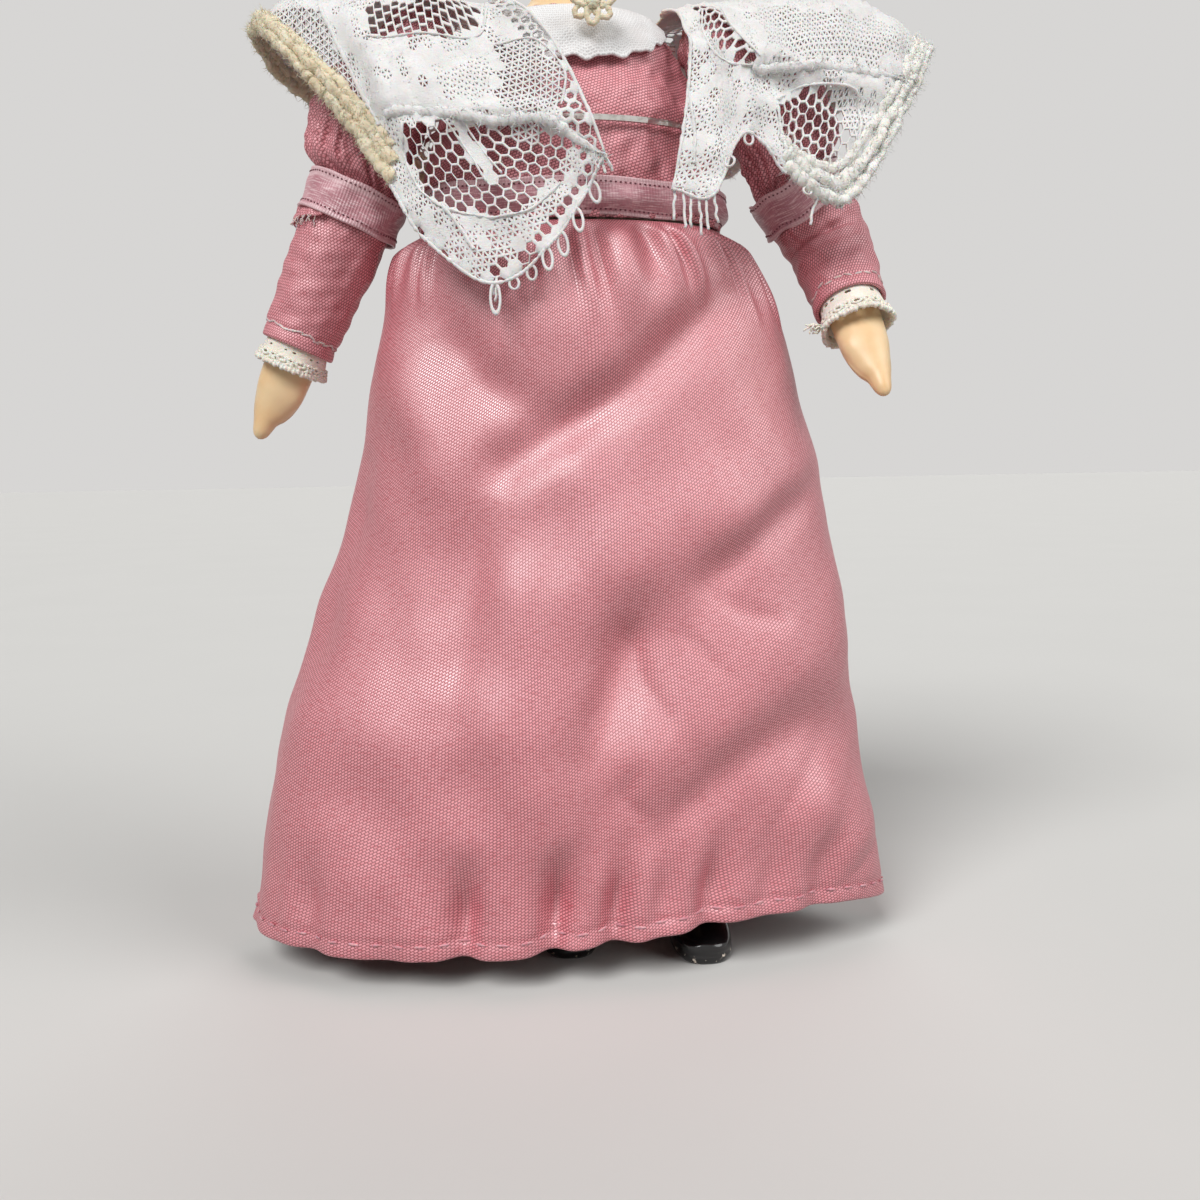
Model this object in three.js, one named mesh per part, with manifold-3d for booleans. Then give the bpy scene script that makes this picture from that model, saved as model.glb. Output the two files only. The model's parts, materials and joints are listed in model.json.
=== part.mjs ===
// Miniature costume doll, one twelfth of life size: a bisque shoulder head, forearms and lower legs
// on a wired and stuffed cloth body, dressed in a satin gown with puffed sleeves and a wide lace collar.
// Millimetres, +Z up, the doll faces -Y and its own left side is +X. The origin is in the middle of the base.
import * as THREE from "three";
import { mergeVertices } from "three/addons/utils/BufferGeometryUtils.js";
import Module from "manifold-3d";

const wasm = await Module();
wasm.setup();

// Lengths stacked from the floor to the top of the bun
const SHIN_LENGTH = 39.5;
const THIGH_LENGTH = 29.2;
const WAIST_RISE = 8;
const BUST_RISE = 8;
const PLATE_EDGE_RISE = 5;
const SHOULDER_RISE = 6;
const NECKLINE_RISE = 2;
const TORSO_TOP_RISE = 4;
const NECK_LENGTH = 6;
const HEAD_LENGTH = 21;
const BUN_RISE = 6;

// Walls and clearances
const SEAT_GAP = 0.3;
const TURN_GAP = 0.4;
const SATIN = 0.6;
const LINEN = 0.5;
const RIBBON = 0.5;
const LACE = 0.6;
const BISQUE_WALL = 1.0;
const HAIR_THICKNESS = 1.6;
const WIRE_RADIUS = 0.4;
const CHEST_WIRE_RADIUS = 0.35;

// Stuffed body, as half widths and half depths
const TORSO_BASE = { rx: 15.0, ry: 9.4 };
const WAIST = { rx: 15.5, ry: 9.8 };
const BUST = { rx: 13.7, ry: 10.2 };
const PLATE_LINE = { rx: 12.2, ry: 9.4 };
const SHOULDER_LINE = { rx: 9.0, ry: 7.4 };
const NECK_BASE = { rx: 4.8, ry: 4.6 };
const PELVIS_RADIUS = 5.5;
const PELVIS_HALF_LENGTH = 13;

// Head and hair
const HEAD = { rx: 7.9, ry: 9.0 };
const NECK_RADIUS = 3.8;
const NOSE_DEPTH = 1.3;
const NOSE_HALF_WIDTH = 1.2;
const NAPE_RISE = 2.5;
const HAIRLINE_RISE = 15.8;
const FACE_HALF_WIDTH = 7.1;
const BUN_RADIUS = 5.2;
const BUN_HALF_HEIGHT = 3.4;
const BUN_SETBACK = 2.2;

// Trim round the bodice
const RIBBON_WIDTH = 4.0;
const BIB_LENGTH = 6.5;
const BIB_SPREAD_DEG = 62;
const BIB_RISE = 4.5;
const BOW_RADIUS = 2.4;
const BOW_SHIFT = 1.6;
const BOW_DEPTH = 1.8;
const BOW_LOBES = 5;
const WIRE_TAIL = 3.5;

// Arms, stacked down from the shoulder pivot
const PUFF_LENGTH = 17.5;
const SLEEVE_RIBBON_WIDTH = 4.0;
const ELBOW_DROP = 4.5;
const CUFF_WIDTH = 3.8;
const FOREARM_LENGTH = 22.2;
const ARM_RADIUS = 2.9;
const PUFF_EASE = 0.6;
const PUFF_FULLNESS = 2.0;
const PUFF_FOLDS = 9;
const PUFF_FOLD_DEPTH = 0.035;
const SLEEVE_TOP_RADIUS = 5.0;
const SLEEVE_CUFF_RADIUS = 4.2;
const FOREARM_RADIUS = 3.1;
const WRIST = { rx: 3.0, ry: 2.3 };
const THUMB_LEAN = 0.5;
const RIGHT_ARM = { side: -1, raise: 24, inward: 0, flex: 0, sleeve: 10.6 };
const LEFT_ARM = { side: 1, raise: 31, inward: 22, flex: 34, sleeve: 9.2 };

// Legs, set a little to the doll's left under the gown
const LEG_PARTING = 1.3;
const LEG_SHIFT = 2;
const RIGHT_LEG = { side: -1, lean: 3, stepBack: 4.3 };
const LEFT_LEG = { side: 1, lean: 4.8, stepBack: 0.6 };
const THIGH_RADIUS = 4.4;
const THIGH_KNEE_RADIUS = 3.7;
const DRAWERS_FLARE = 0.5;
const DRAWERS_RISE = 2.4;
const DRAWERS_LENGTH = 25;
const SHIN_RADIUS = 3.1;
const SHOE_LENGTH = 15;
const SHOE_WIDTH = 7.3;
const SHOE_HEIGHT = 5.6;
const ANKLE_HEIGHT = 8;
const SHOE_HEEL_BACK = 4;
const HEEL_NOTCH_RADIUS = 1.1;

// Gown skirt: half widths and half depths from the waist to the hem
const HEM_HEIGHT = 4.4;
const HEM_LIFT = { rise: 3.8, x: 15, spread: 20 };
const HIP_LINE = { x: 0.9, rx: 23.2, ry: 14.4 };
const HIP_LINE_RISE = 5.3;
const MID_SKIRT = { x: -0.2, rx: 30.0, ry: 15.6 };
const HEM_LINE = { x: -1.4, rx: 38.2, ry: 17.0 };
const WAIST_SWELL = { rx: 2.9, ry: 1.3, drop: 2.5 };
const SIDE_PINCH = 0.22;
const GATHERS = 11;
const GATHER_DEPTH = 0.5;
const BACK_FOLDS = 6;
const BACK_FOLD_DEPTH = 1.2;
const BACK_FOLD_TWIST = 3;

// Swells and dents of the skirt's front: three places along each one as x and z, its width and its height
const FRONT_FOLDS = [
  { line: [[-7, 73], [2, 76], [9, 80]], width: 6, height: 1 },
  { line: [[-5.5, 60.5], [6, 67.4], [16.5, 76.5]], width: 2.8, height: -2.3 },
  { line: [[-1, 50.5], [11, 55.5], [21, 60]], width: 7.5, height: 2 },
  { line: [[-15, 74], [-11.2, 68.2], [-6, 64.8]], width: 2.8, height: -1.5 },
  { line: [[-21, 73], [-17.5, 65], [-15, 57]], width: 4, height: 1.3 },
  { line: [[24.5, 55], [18.5, 49.6], [13, 45]], width: 2.6, height: -1.8 },
  { line: [[27, 38], [19.5, 33], [13, 27]], width: 6.5, height: 1.7 },
  { line: [[3.5, 39.5], [-1.8, 33], [-4, 28]], width: 3, height: -2 },
  { line: [[-12, 55.5], [-13.4, 43.6], [-14.7, 32]], width: 2.8, height: -1 },
  { line: [[-25.5, 58], [-28.1, 45.6], [-30.5, 34]], width: 3, height: -1.4 },
  { line: [[-34, 19.5], [-26, 18], [-18, 17]], width: 6.5, height: 2.4 },
  { line: [[22, 20], [29, 17], [33, 13]], width: 6.5, height: 2.1 },
];

// Collar: where each half starts at the neck, then its edge from the front over the arm to the middle back,
// by the angle round the doll, the distance out from the middle and the drop below the neckline
const RIGHT_COLLAR = {
  side: -1,
  neckDeg: 57,
  frontBow: { out: 0, ahead: 1.5 },
  edge: [
    { deg: -9, reach: 16.6, drop: 18.9 },
    { deg: 8, reach: 16.8, drop: 26.7 },
    { deg: 29, reach: 19.1, drop: 31.6 },
    { deg: 47, reach: 22.8, drop: 26.4 },
    { deg: 55, reach: 24.0, drop: 21.1 },
    { deg: 68, reach: 26.8, drop: 13.5 },
    { deg: 87, reach: 34.9, drop: 1.6 },
    { deg: 105, reach: 33.0, drop: 6.0 },
    { deg: 135, reach: 22.0, drop: 16.0 },
    { deg: 179, reach: 16.8, drop: 18.0 },
  ],
};
const LEFT_COLLAR = {
  side: 1,
  neckDeg: 76,
  frontBow: { out: 5, ahead: 0 },
  edge: [
    { deg: 31, reach: 18.7, drop: 22.2 },
    { deg: 42, reach: 21.2, drop: 22.5 },
    { deg: 50, reach: 23.0, drop: 16.0 },
    { deg: 58, reach: 26.0, drop: 20.0 },
    { deg: 68, reach: 31.4, drop: 23.0 },
    { deg: 79, reach: 37.9, drop: 11.4 },
    { deg: 88, reach: 41.4, drop: 3.5 },
    { deg: 105, reach: 37.0, drop: 6.0 },
    { deg: 135, reach: 23.0, drop: 16.0 },
    { deg: 179, reach: 16.8, drop: 18.0 },
  ],
};
const COLLAR_CREST = 6;
const FRONT_BOW_SPREAD_DEG = 50;
const COLLAR_FALL = { front: 0.5, arm: 0.8 };

// How finely round forms are divided
const BODY_SIDES = 24;
const SKIRT_SIDES = 44;
const SLEEVE_SIDES = 16;
const LIMB_SIDES = 12;
const WIRE_SIDES = 8;
const LONG_CUT = 60;

const radians = THREE.MathUtils.degToRad;
const mix = THREE.MathUtils.lerp;
const ease = THREE.MathUtils.smoothstep;

const FINISH = {
  bisque: { color: 0xe6c39c, roughness: 0.45 },
  hair: { color: 0x5b3a22, roughness: 0.7 },
  calico: { color: 0xe9dfcc, roughness: 0.9 },
  linen: { color: 0xf3f1ec, roughness: 0.9 },
  lace: { color: 0xf1eee6, roughness: 0.9 },
  cream: { color: 0xe8dfc4, roughness: 0.9 },
  satin: { color: 0xc0707f, roughness: 0.4 },
  ribbon: { color: 0xc98a97, roughness: 0.5 },
  steel: { color: 0xb9b4ae, roughness: 0.3, metalness: 1 },
};

const materials = Object.fromEntries(
  Object.entries(FINISH).map(([name, finish]) => [name, new THREE.MeshStandardMaterial(finish)]),
);

function piece(name, finish, geometry) {
  const mesh = new THREE.Mesh(geometry, materials[finish]);
  mesh.name = name;
  return mesh;
}

// A smooth value between stations, records in order of their height or angle, by Catmull-Rom spans
function station(stations, key, at, by = "z") {
  const up = stations[0][by] < stations.at(-1)[by] ? stations : [...stations].reverse();
  const next = up.findIndex((s) => s[by] >= at);
  const i = next < 0 ? up.length - 1 : Math.max(next, 1);
  const [a, b] = [up[i - 1], up[i]];
  const span = b[by] - a[by];
  const t = THREE.MathUtils.clamp((at - a[by]) / span, 0, 1);
  const before = up[i - 2] ?? a;
  const after = up[i + 1] ?? b;
  const slopeA = ((b[key] - before[key]) / (b[by] - before[by])) * span;
  const slopeB = ((after[key] - a[key]) / (after[by] - a[by])) * span;
  const [t2, t3] = [t * t, t * t * t];
  return (
    (2 * t3 - 3 * t2 + 1) * a[key] +
    (t3 - 2 * t2 + t) * slopeA +
    (3 * t2 - 2 * t3) * b[key] +
    (t3 - t2) * slopeB
  );
}

// Heights from one level to another in equal steps
function levels(from, to, steps) {
  return Array.from({ length: steps + 1 }, (_, i) => mix(from, to, i / steps));
}

// One ring of points, an ellipse whose radius may vary with the angle; square below 1 fills its corners out,
// above 1 it pinches them in
function ring({ x = 0, y = 0, z, rx, ry, square = 1 }, sides, wave = () => 1) {
  const bent = (value) => Math.sign(value) * Math.abs(value) ** square;
  return Array.from({ length: sides }, (_, i) => {
    const angle = (i / sides) * Math.PI * 2;
    const px = x + rx * bent(Math.cos(angle)) * wave(angle);
    const py = y + ry * bent(Math.sin(angle)) * wave(angle);
    return new THREE.Vector3(px, py, z);
  });
}

function geometryOf(points, triangles) {
  const geometry = new THREE.BufferGeometry().setFromPoints(points);
  geometry.setIndex(triangles);
  let volume = 0;
  for (let i = 0; i < triangles.length; i += 3) {
    const [a, b, c] = [0, 1, 2].map((k) => points[triangles[i + k]]);
    volume += a.dot(b.clone().cross(c));
  }
  if (volume < 0) {
    for (let i = 0; i < triangles.length; i += 3) {
      [triangles[i + 1], triangles[i + 2]] = [triangles[i + 2], triangles[i + 1]];
    }
    geometry.setIndex(triangles);
  }
  return geometry;
}

// The side walls between two neighbouring rings, by the first index of each
function wall(triangles, low, high, sides, closed = true) {
  const count = closed ? sides : sides - 1;
  for (let i = 0; i < count; i++) {
    const j = (i + 1) % sides;
    triangles.push(low + i, low + j, high + j, low + i, high + j, high + i);
  }
}

// A solid skinned over rings, with a flat cap at each end
function loft(rings) {
  const sides = rings[0].length;
  const points = rings.flat();
  const triangles = [];
  rings.slice(1).forEach((_, i) => wall(triangles, i * sides, (i + 1) * sides, sides));
  const middle = (r) => r.reduce((sum, p) => sum.add(p), new THREE.Vector3()).divideScalar(sides);
  const [bottom, top] = [points.push(middle(rings[0])) - 1, points.push(middle(rings.at(-1))) - 1];
  const last = (rings.length - 1) * sides;
  for (let i = 0; i < sides; i++) {
    const j = (i + 1) % sides;
    triangles.push(bottom, j, i, top, last + i, last + j);
  }
  return geometryOf(points, triangles);
}

// A tube of cloth: an outer and an inner skin of matching rings, joined along both edges
function tubeOfCloth(outer, inner) {
  const sides = outer[0].length;
  const rings = [...outer, ...[...inner].reverse()];
  const triangles = [];
  rings.forEach((_, i) => wall(triangles, i * sides, ((i + 1) % rings.length) * sides, sides));
  return geometryOf(rings.flat(), triangles);
}

// A patch of cloth: a grid of points with a matching grid underneath, joined along all four edges
function patchOfCloth(upper, lower) {
  const [rows, columns] = [upper.length, upper[0].length];
  const points = [...upper.flat(), ...lower.flat()];
  const triangles = [];
  const under = rows * columns;
  for (let r = 0; r + 1 < rows; r++) {
    wall(triangles, r * columns, (r + 1) * columns, columns, false);
    wall(triangles, under + (r + 1) * columns, under + r * columns, columns, false);
  }
  const border = [
    ...Array.from({ length: columns - 1 }, (_, i) => i),
    ...Array.from({ length: rows - 1 }, (_, i) => i * columns + columns - 1),
    ...Array.from({ length: columns - 1 }, (_, i) => rows * columns - 1 - i),
    ...Array.from({ length: rows - 1 }, (_, i) => (rows - 1 - i) * columns),
  ];
  border.forEach((a, i) => {
    const b = border[(i + 1) % border.length];
    triangles.push(a, under + b, b, a, under + a, under + b);
  });
  return geometryOf(points, triangles);
}

function solid(geometry) {
  const bare = new THREE.BufferGeometry().setAttribute("position", geometry.getAttribute("position"));
  if (geometry.index) bare.setIndex(geometry.index);
  const merged = mergeVertices(bare, 1e-4);
  return new wasm.Manifold(
    new wasm.Mesh({
      numProp: 3,
      vertProperties: new Float32Array(merged.attributes.position.array),
      triVerts: new Uint32Array(merged.index.array),
    }),
  );
}

function geometryFrom(manifold) {
  const mesh = manifold.getMesh();
  const geometry = new THREE.BufferGeometry();
  geometry.setAttribute("position", new THREE.BufferAttribute(mesh.vertProperties, 3));
  geometry.setIndex(new THREE.BufferAttribute(mesh.triVerts, 1));
  return geometry;
}

function cut(body, ...tools) {
  return geometryFrom(tools.reduce((left, tool) => left.subtract(solid(tool)), solid(body)));
}

function join(body, ...others) {
  return geometryFrom(others.reduce((sum, other) => sum.add(solid(other)), solid(body)));
}

// A round bar along an axis through a point, for bores, pads and notches
function bar(radius, length, axis, at, sides = WIRE_SIDES) {
  const geometry = new THREE.CylinderGeometry(radius, radius, length, sides);
  const up = new THREE.Vector3(0, 1, 0);
  geometry.applyQuaternion(new THREE.Quaternion().setFromUnitVectors(up, axis));
  return geometry.translate(at.x, at.y, at.z);
}

const ALONG_X = new THREE.Vector3(1, 0, 0);
const ALONG_Z = new THREE.Vector3(0, 0, 1);

// Layers over the torso, each measured outwards from the stuffed body
const PLATE_IN = SEAT_GAP;
const PLATE_OUT = PLATE_IN + BISQUE_WALL;
const BODICE_IN = PLATE_OUT + SEAT_GAP;
const BODICE_OUT = BODICE_IN + SATIN;
const TRIM_IN = BODICE_OUT + SEAT_GAP;
const BIB_OUT = TRIM_IN + LINEN;

// Layers over the limbs
const DRAWERS_FIT = THIGH_RADIUS + SEAT_GAP + LINEN;
const DRAWERS_RADIUS = DRAWERS_FIT + DRAWERS_FLARE;
const PUFF_CAP_RADIUS = ARM_RADIUS + SEAT_GAP + PUFF_EASE + SATIN;
const PUFF_RADIUS = PUFF_CAP_RADIUS + PUFF_FULLNESS;
const SLEEVE_RIBBON_RADIUS = SLEEVE_TOP_RADIUS + SEAT_GAP + RIBBON;

// Heights above the floor
const KNEE_HEIGHT = SHIN_LENGTH;
const HIP_HEIGHT = KNEE_HEIGHT + THIGH_LENGTH;
const BEND_HEIGHT = HIP_HEIGHT + THIGH_RADIUS + TURN_GAP + PELVIS_RADIUS;
const PAD_FOOT = BEND_HEIGHT + DRAWERS_FIT;
const WAIST_HEIGHT = BEND_HEIGHT + WAIST_RISE;
const RIBBON_FOOT = WAIST_HEIGHT - RIBBON_WIDTH / 2;
const CHEST_WIRE_HEIGHT = WAIST_HEIGHT + BUST_RISE;
const PLATE_EDGE_HEIGHT = CHEST_WIRE_HEIGHT + PLATE_EDGE_RISE;
const SHOULDER_HEIGHT = PLATE_EDGE_HEIGHT + SHOULDER_RISE;
const NECKLINE_HEIGHT = SHOULDER_HEIGHT + NECKLINE_RISE;
const TORSO_TOP_HEIGHT = SHOULDER_HEIGHT + TORSO_TOP_RISE;
const CHIN_HEIGHT = TORSO_TOP_HEIGHT + NECK_LENGTH;
const CROWN_HEIGHT = CHIN_HEIGHT + HEAD_LENGTH;
const BUN_HEIGHT = CROWN_HEIGHT + BUN_RISE;

// Lengths down the arm from the shoulder pivot
const PUFF_FOOT = PUFF_LENGTH + SLEEVE_RIBBON_WIDTH;
const ELBOW_LENGTH = PUFF_FOOT + ELBOW_DROP;

// The shoulders stand far enough apart for the lower arm to hang clear of the body at a drop and half width
function spreadFor(drop, halfWidth, sleeveRadius) {
  const hang = radians(Math.min(RIGHT_ARM.raise, LEFT_ARM.raise));
  return halfWidth + SEAT_GAP + sleeveRadius / Math.cos(hang) - drop * Math.tan(hang);
}

const SHOULDER_SPREAD = Math.max(
  spreadFor(SHOULDER_HEIGHT - CHEST_WIRE_HEIGHT, BUST.rx + TRIM_IN + 2 * CHEST_WIRE_RADIUS, PUFF_CAP_RADIUS),
  spreadFor(SHOULDER_HEIGHT - WAIST_HEIGHT, WAIST.rx + TRIM_IN + RIBBON, SLEEVE_RIBBON_RADIUS),
);
const HIP_SPREAD = DRAWERS_RADIUS + LEG_PARTING;

const TORSO = [
  { z: PAD_FOOT, ...TORSO_BASE },
  { z: WAIST_HEIGHT, ...WAIST },
  { z: CHEST_WIRE_HEIGHT, ...BUST },
  { z: PLATE_EDGE_HEIGHT, ...PLATE_LINE },
  { z: SHOULDER_HEIGHT, ...SHOULDER_LINE },
  { z: TORSO_TOP_HEIGHT, ...NECK_BASE },
];

function torsoRing(z, grow, sides = BODY_SIDES) {
  const rx = station(TORSO, "rx", z) + grow;
  const ry = station(TORSO, "ry", z) + grow;
  return ring({ z, rx, ry }, sides);
}

function torsoSolid(from, to, grow, steps) {
  return loft(levels(from, to, steps).map((z) => torsoRing(z, grow)));
}

function torsoLayer(from, to, inside, outside, steps) {
  const heights = levels(from, to, steps);
  return tubeOfCloth(
    heights.map((z) => torsoRing(z, outside)),
    heights.map((z) => torsoRing(z, inside)),
  );
}

function torsoPad() {
  const body = torsoSolid(PAD_FOOT, TORSO_TOP_HEIGHT, 0, 8);
  const bend = { x: 0, y: 0, z: BEND_HEIGHT };
  const pelvisSeat = bar(PELVIS_RADIUS + TURN_GAP, LONG_CUT, ALONG_X, bend, 2 * LIMB_SIDES);
  const shoulderBore = bar(WIRE_RADIUS + SEAT_GAP, LONG_CUT, ALONG_X, { x: 0, y: 0, z: SHOULDER_HEIGHT });
  const spineBore = bar(WIRE_RADIUS + SEAT_GAP, SHOULDER_HEIGHT - BEND_HEIGHT, ALONG_Z, spineMiddle());
  return cut(body, pelvisSeat, shoulderBore, spineBore);
}

function spineMiddle() {
  return { x: 0, y: 0, z: (SHOULDER_HEIGHT + BEND_HEIGHT) / 2 };
}

function spineWire() {
  const foot = BEND_HEIGHT + PELVIS_RADIUS + TURN_GAP + SEAT_GAP;
  const top = SHOULDER_HEIGHT - 2 * WIRE_RADIUS - SEAT_GAP;
  return bar(WIRE_RADIUS, top - foot, ALONG_Z, { x: 0, y: 0, z: (top + foot) / 2 });
}

function shoulderWire() {
  const reach = SHOULDER_SPREAD - PUFF_CAP_RADIUS - TURN_GAP;
  return bar(WIRE_RADIUS, 2 * reach, ALONG_X, { x: 0, y: 0, z: SHOULDER_HEIGHT });
}

// Head: half width, half depth and centre of each level from the neck to the crown
function headStations(grow = 0) {
  const level = (share, wide, deep, y) => ({
    z: CHIN_HEIGHT + share * HEAD_LENGTH,
    rx: wide * HEAD.rx + grow,
    ry: deep * HEAD.ry + grow,
    y,
  });
  const neck = { rx: NECK_RADIUS + grow, ry: NECK_RADIUS + grow };
  return [
    { z: TORSO_TOP_HEIGHT + 2 * SEAT_GAP, rx: NECK_BASE.rx + PLATE_IN, ry: NECK_BASE.ry + PLATE_IN, y: 0 },
    { z: TORSO_TOP_HEIGHT + PLATE_OUT + SEAT_GAP, rx: neck.rx + SEAT_GAP, ry: neck.ry + SEAT_GAP, y: 0.3 },
    { z: CHIN_HEIGHT - 0.06 * HEAD_LENGTH, ...neck, y: 0.2 },
    level(0.01, 0.56, 0.53, -0.9),
    level(0.08, 0.71, 0.72, -0.8),
    level(0.2, 0.86, 0.87, -0.4),
    level(0.37, 0.96, 0.96, 0),
    level(0.54, 1, 1, 0.2),
    level(0.71, 0.97, 1, 0.4),
    level(0.86, 0.8, 0.84, 0.5),
    level(0.95, 0.54, 0.58, 0.5),
    { ...level(1, 0.18, 0.19, 0.5), z: CROWN_HEIGHT + grow },
  ];
}

// A small rounded nose on the front of the face
function nose(point) {
  const up = (point.z - CHIN_HEIGHT) / HEAD_LENGTH;
  const along = ease(up, 0.26, 0.36) * (1 - ease(up, 0.38, 0.56));
  const across = Math.exp(-((point.x / NOSE_HALF_WIDTH) ** 2));
  if (point.y < 0) point.y -= NOSE_DEPTH * along * across;
  return point;
}

function headLoft(grow = 0, withNose = false) {
  const stations = headStations(grow);
  const heights = [
    ...stations.slice(0, 4).map((s) => s.z),
    ...levels(stations[4].z, stations.at(-2).z, 9),
    stations.at(-1).z,
  ];
  const shape = (z) => ["rx", "ry", "y"].map((key) => station(stations, key, z));
  const rings = heights.map((z) => {
    const [rx, ry, y] = shape(z);
    const points = ring({ y, z, rx, ry }, BODY_SIDES);
    return withNose ? points.map(nose) : points;
  });
  return loft(rings);
}

function head() {
  const top = TORSO_TOP_HEIGHT;
  const plate = cut(
    torsoSolid(PLATE_EDGE_HEIGHT, top + PLATE_OUT, PLATE_OUT, 5),
    torsoSolid(PLATE_EDGE_HEIGHT - 1, top + SEAT_GAP, PLATE_IN, 6),
    armHole(),
  );
  return join(plate, headLoft(0, true));
}

// The way out of the body for the shoulder wire and the arms
function armHole() {
  return bar(WIRE_RADIUS + 4 * SEAT_GAP, LONG_CUT, ALONG_X, { x: 0, y: 0, z: SHOULDER_HEIGHT }, LIMB_SIDES);
}

function hairCap() {
  const faceHeight = (HAIRLINE_RISE + NAPE_RISE) / 2;
  const faceMiddle = CHIN_HEIGHT + HAIRLINE_RISE - faceHeight;
  const face = new THREE.Shape().absellipse(0, faceMiddle, FACE_HALF_WIDTH, faceHeight, 0, 2 * Math.PI);
  const window = new THREE.ExtrudeGeometry(face, { depth: LONG_CUT, bevelEnabled: false, curveSegments: 14 });
  window.rotateX(Math.PI / 2).translate(0, -0.17 * HEAD.ry, 0);
  const nape = new THREE.BoxGeometry(LONG_CUT, LONG_CUT, LONG_CUT);
  nape.translate(0, 0, CHIN_HEIGHT + NAPE_RISE - LONG_CUT / 2);
  return cut(headLoft(SEAT_GAP + HAIR_THICKNESS), headLoft(SEAT_GAP), window, nape);
}

function hairBun() {
  const points = levels(-Math.PI / 2, Math.PI / 2, 8).map(
    (a) => new THREE.Vector2(BUN_RADIUS * Math.cos(a), BUN_HALF_HEIGHT * Math.sin(a)),
  );
  points[0].x = 0;
  points.at(-1).x = 0;
  const bun = new THREE.LatheGeometry(points, SLEEVE_SIDES).rotateX(Math.PI / 2);
  bun.translate(0, BUN_SETBACK, BUN_HEIGHT - BUN_HALF_HEIGHT);
  return cut(bun, headLoft(2 * SEAT_GAP + HAIR_THICKNESS));
}

function bodice() {
  const shell = torsoLayer(RIBBON_FOOT, NECKLINE_HEIGHT, BODICE_IN, BODICE_OUT, 6);
  return cut(shell, armHole());
}

function bib() {
  const spread = radians(BIB_SPREAD_DEG);
  const grid = (grow) =>
    levels(0, 1, 4).map((up) =>
      levels(-spread, spread, 12).map((angle) => {
        const foot = NECKLINE_HEIGHT - BIB_LENGTH + BIB_RISE * (angle / spread) ** 2;
        const z = mix(foot, NECKLINE_HEIGHT - SEAT_GAP, up);
        const rx = station(TORSO, "rx", z) + grow;
        const ry = station(TORSO, "ry", z) + grow;
        return new THREE.Vector3(rx * Math.sin(angle), -ry * Math.cos(angle), z);
      }),
    );
  return patchOfCloth(grid(BIB_OUT), grid(TRIM_IN));
}

function throatBow() {
  const z = NECKLINE_HEIGHT - BOW_RADIUS / 2;
  const front = station(TORSO, "ry", z - BOW_RADIUS) + BIB_OUT + SEAT_GAP;
  const lobes = (angle) => 1 + 0.16 * Math.cos(BOW_LOBES * angle);
  const profile = [
    { share: 0.55, out: 0 },
    { share: 1, out: 0.35 },
    { share: 0.9, out: 0.75 },
    { share: 0.35, out: 1 },
  ];
  const rings = profile.map(({ share, out }) =>
    ring({ z: out * BOW_DEPTH, rx: BOW_RADIUS * share, ry: BOW_RADIUS * share }, 20, lobes),
  );
  return loft(rings).rotateX(Math.PI / 2).translate(BOW_SHIFT, -front, z);
}

function waistRibbon() {
  return torsoLayer(RIBBON_FOOT, RIBBON_FOOT + RIBBON_WIDTH, TRIM_IN, TRIM_IN + RIBBON, 2);
}

function circleShape(radius, sides) {
  const corners = levels(0, 2 * Math.PI, sides).slice(0, -1);
  return new THREE.Shape(corners.map((a) => new THREE.Vector2(radius * Math.cos(a), radius * Math.sin(a))));
}

// A wire tie round the bodice whose two ends hang side by side at the back
function chestWire() {
  const z = CHEST_WIRE_HEIGHT;
  const grow = BODICE_OUT + SEAT_GAP + CHEST_WIRE_RADIUS;
  const [rx, ry] = ["rx", "ry"].map((key) => station(TORSO, key, z) + grow);
  const ends = 1.2 * CHEST_WIRE_RADIUS + SEAT_GAP;
  const gap = Math.asin((2 * ends) / rx);
  const around = levels(gap, 2 * Math.PI - gap, 32).map(
    (a) => new THREE.Vector3(rx * Math.sin(a), ry * Math.cos(a), z),
  );
  const tail = (sign) => new THREE.Vector3(sign * ends, ry, z - WIRE_TAIL);
  const path = new THREE.CatmullRomCurve3([tail(1), ...around, tail(-1)]);
  return new THREE.ExtrudeGeometry(circleShape(CHEST_WIRE_RADIUS, 6), {
    steps: 38,
    bevelEnabled: false,
    extrudePath: path,
  });
}

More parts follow.
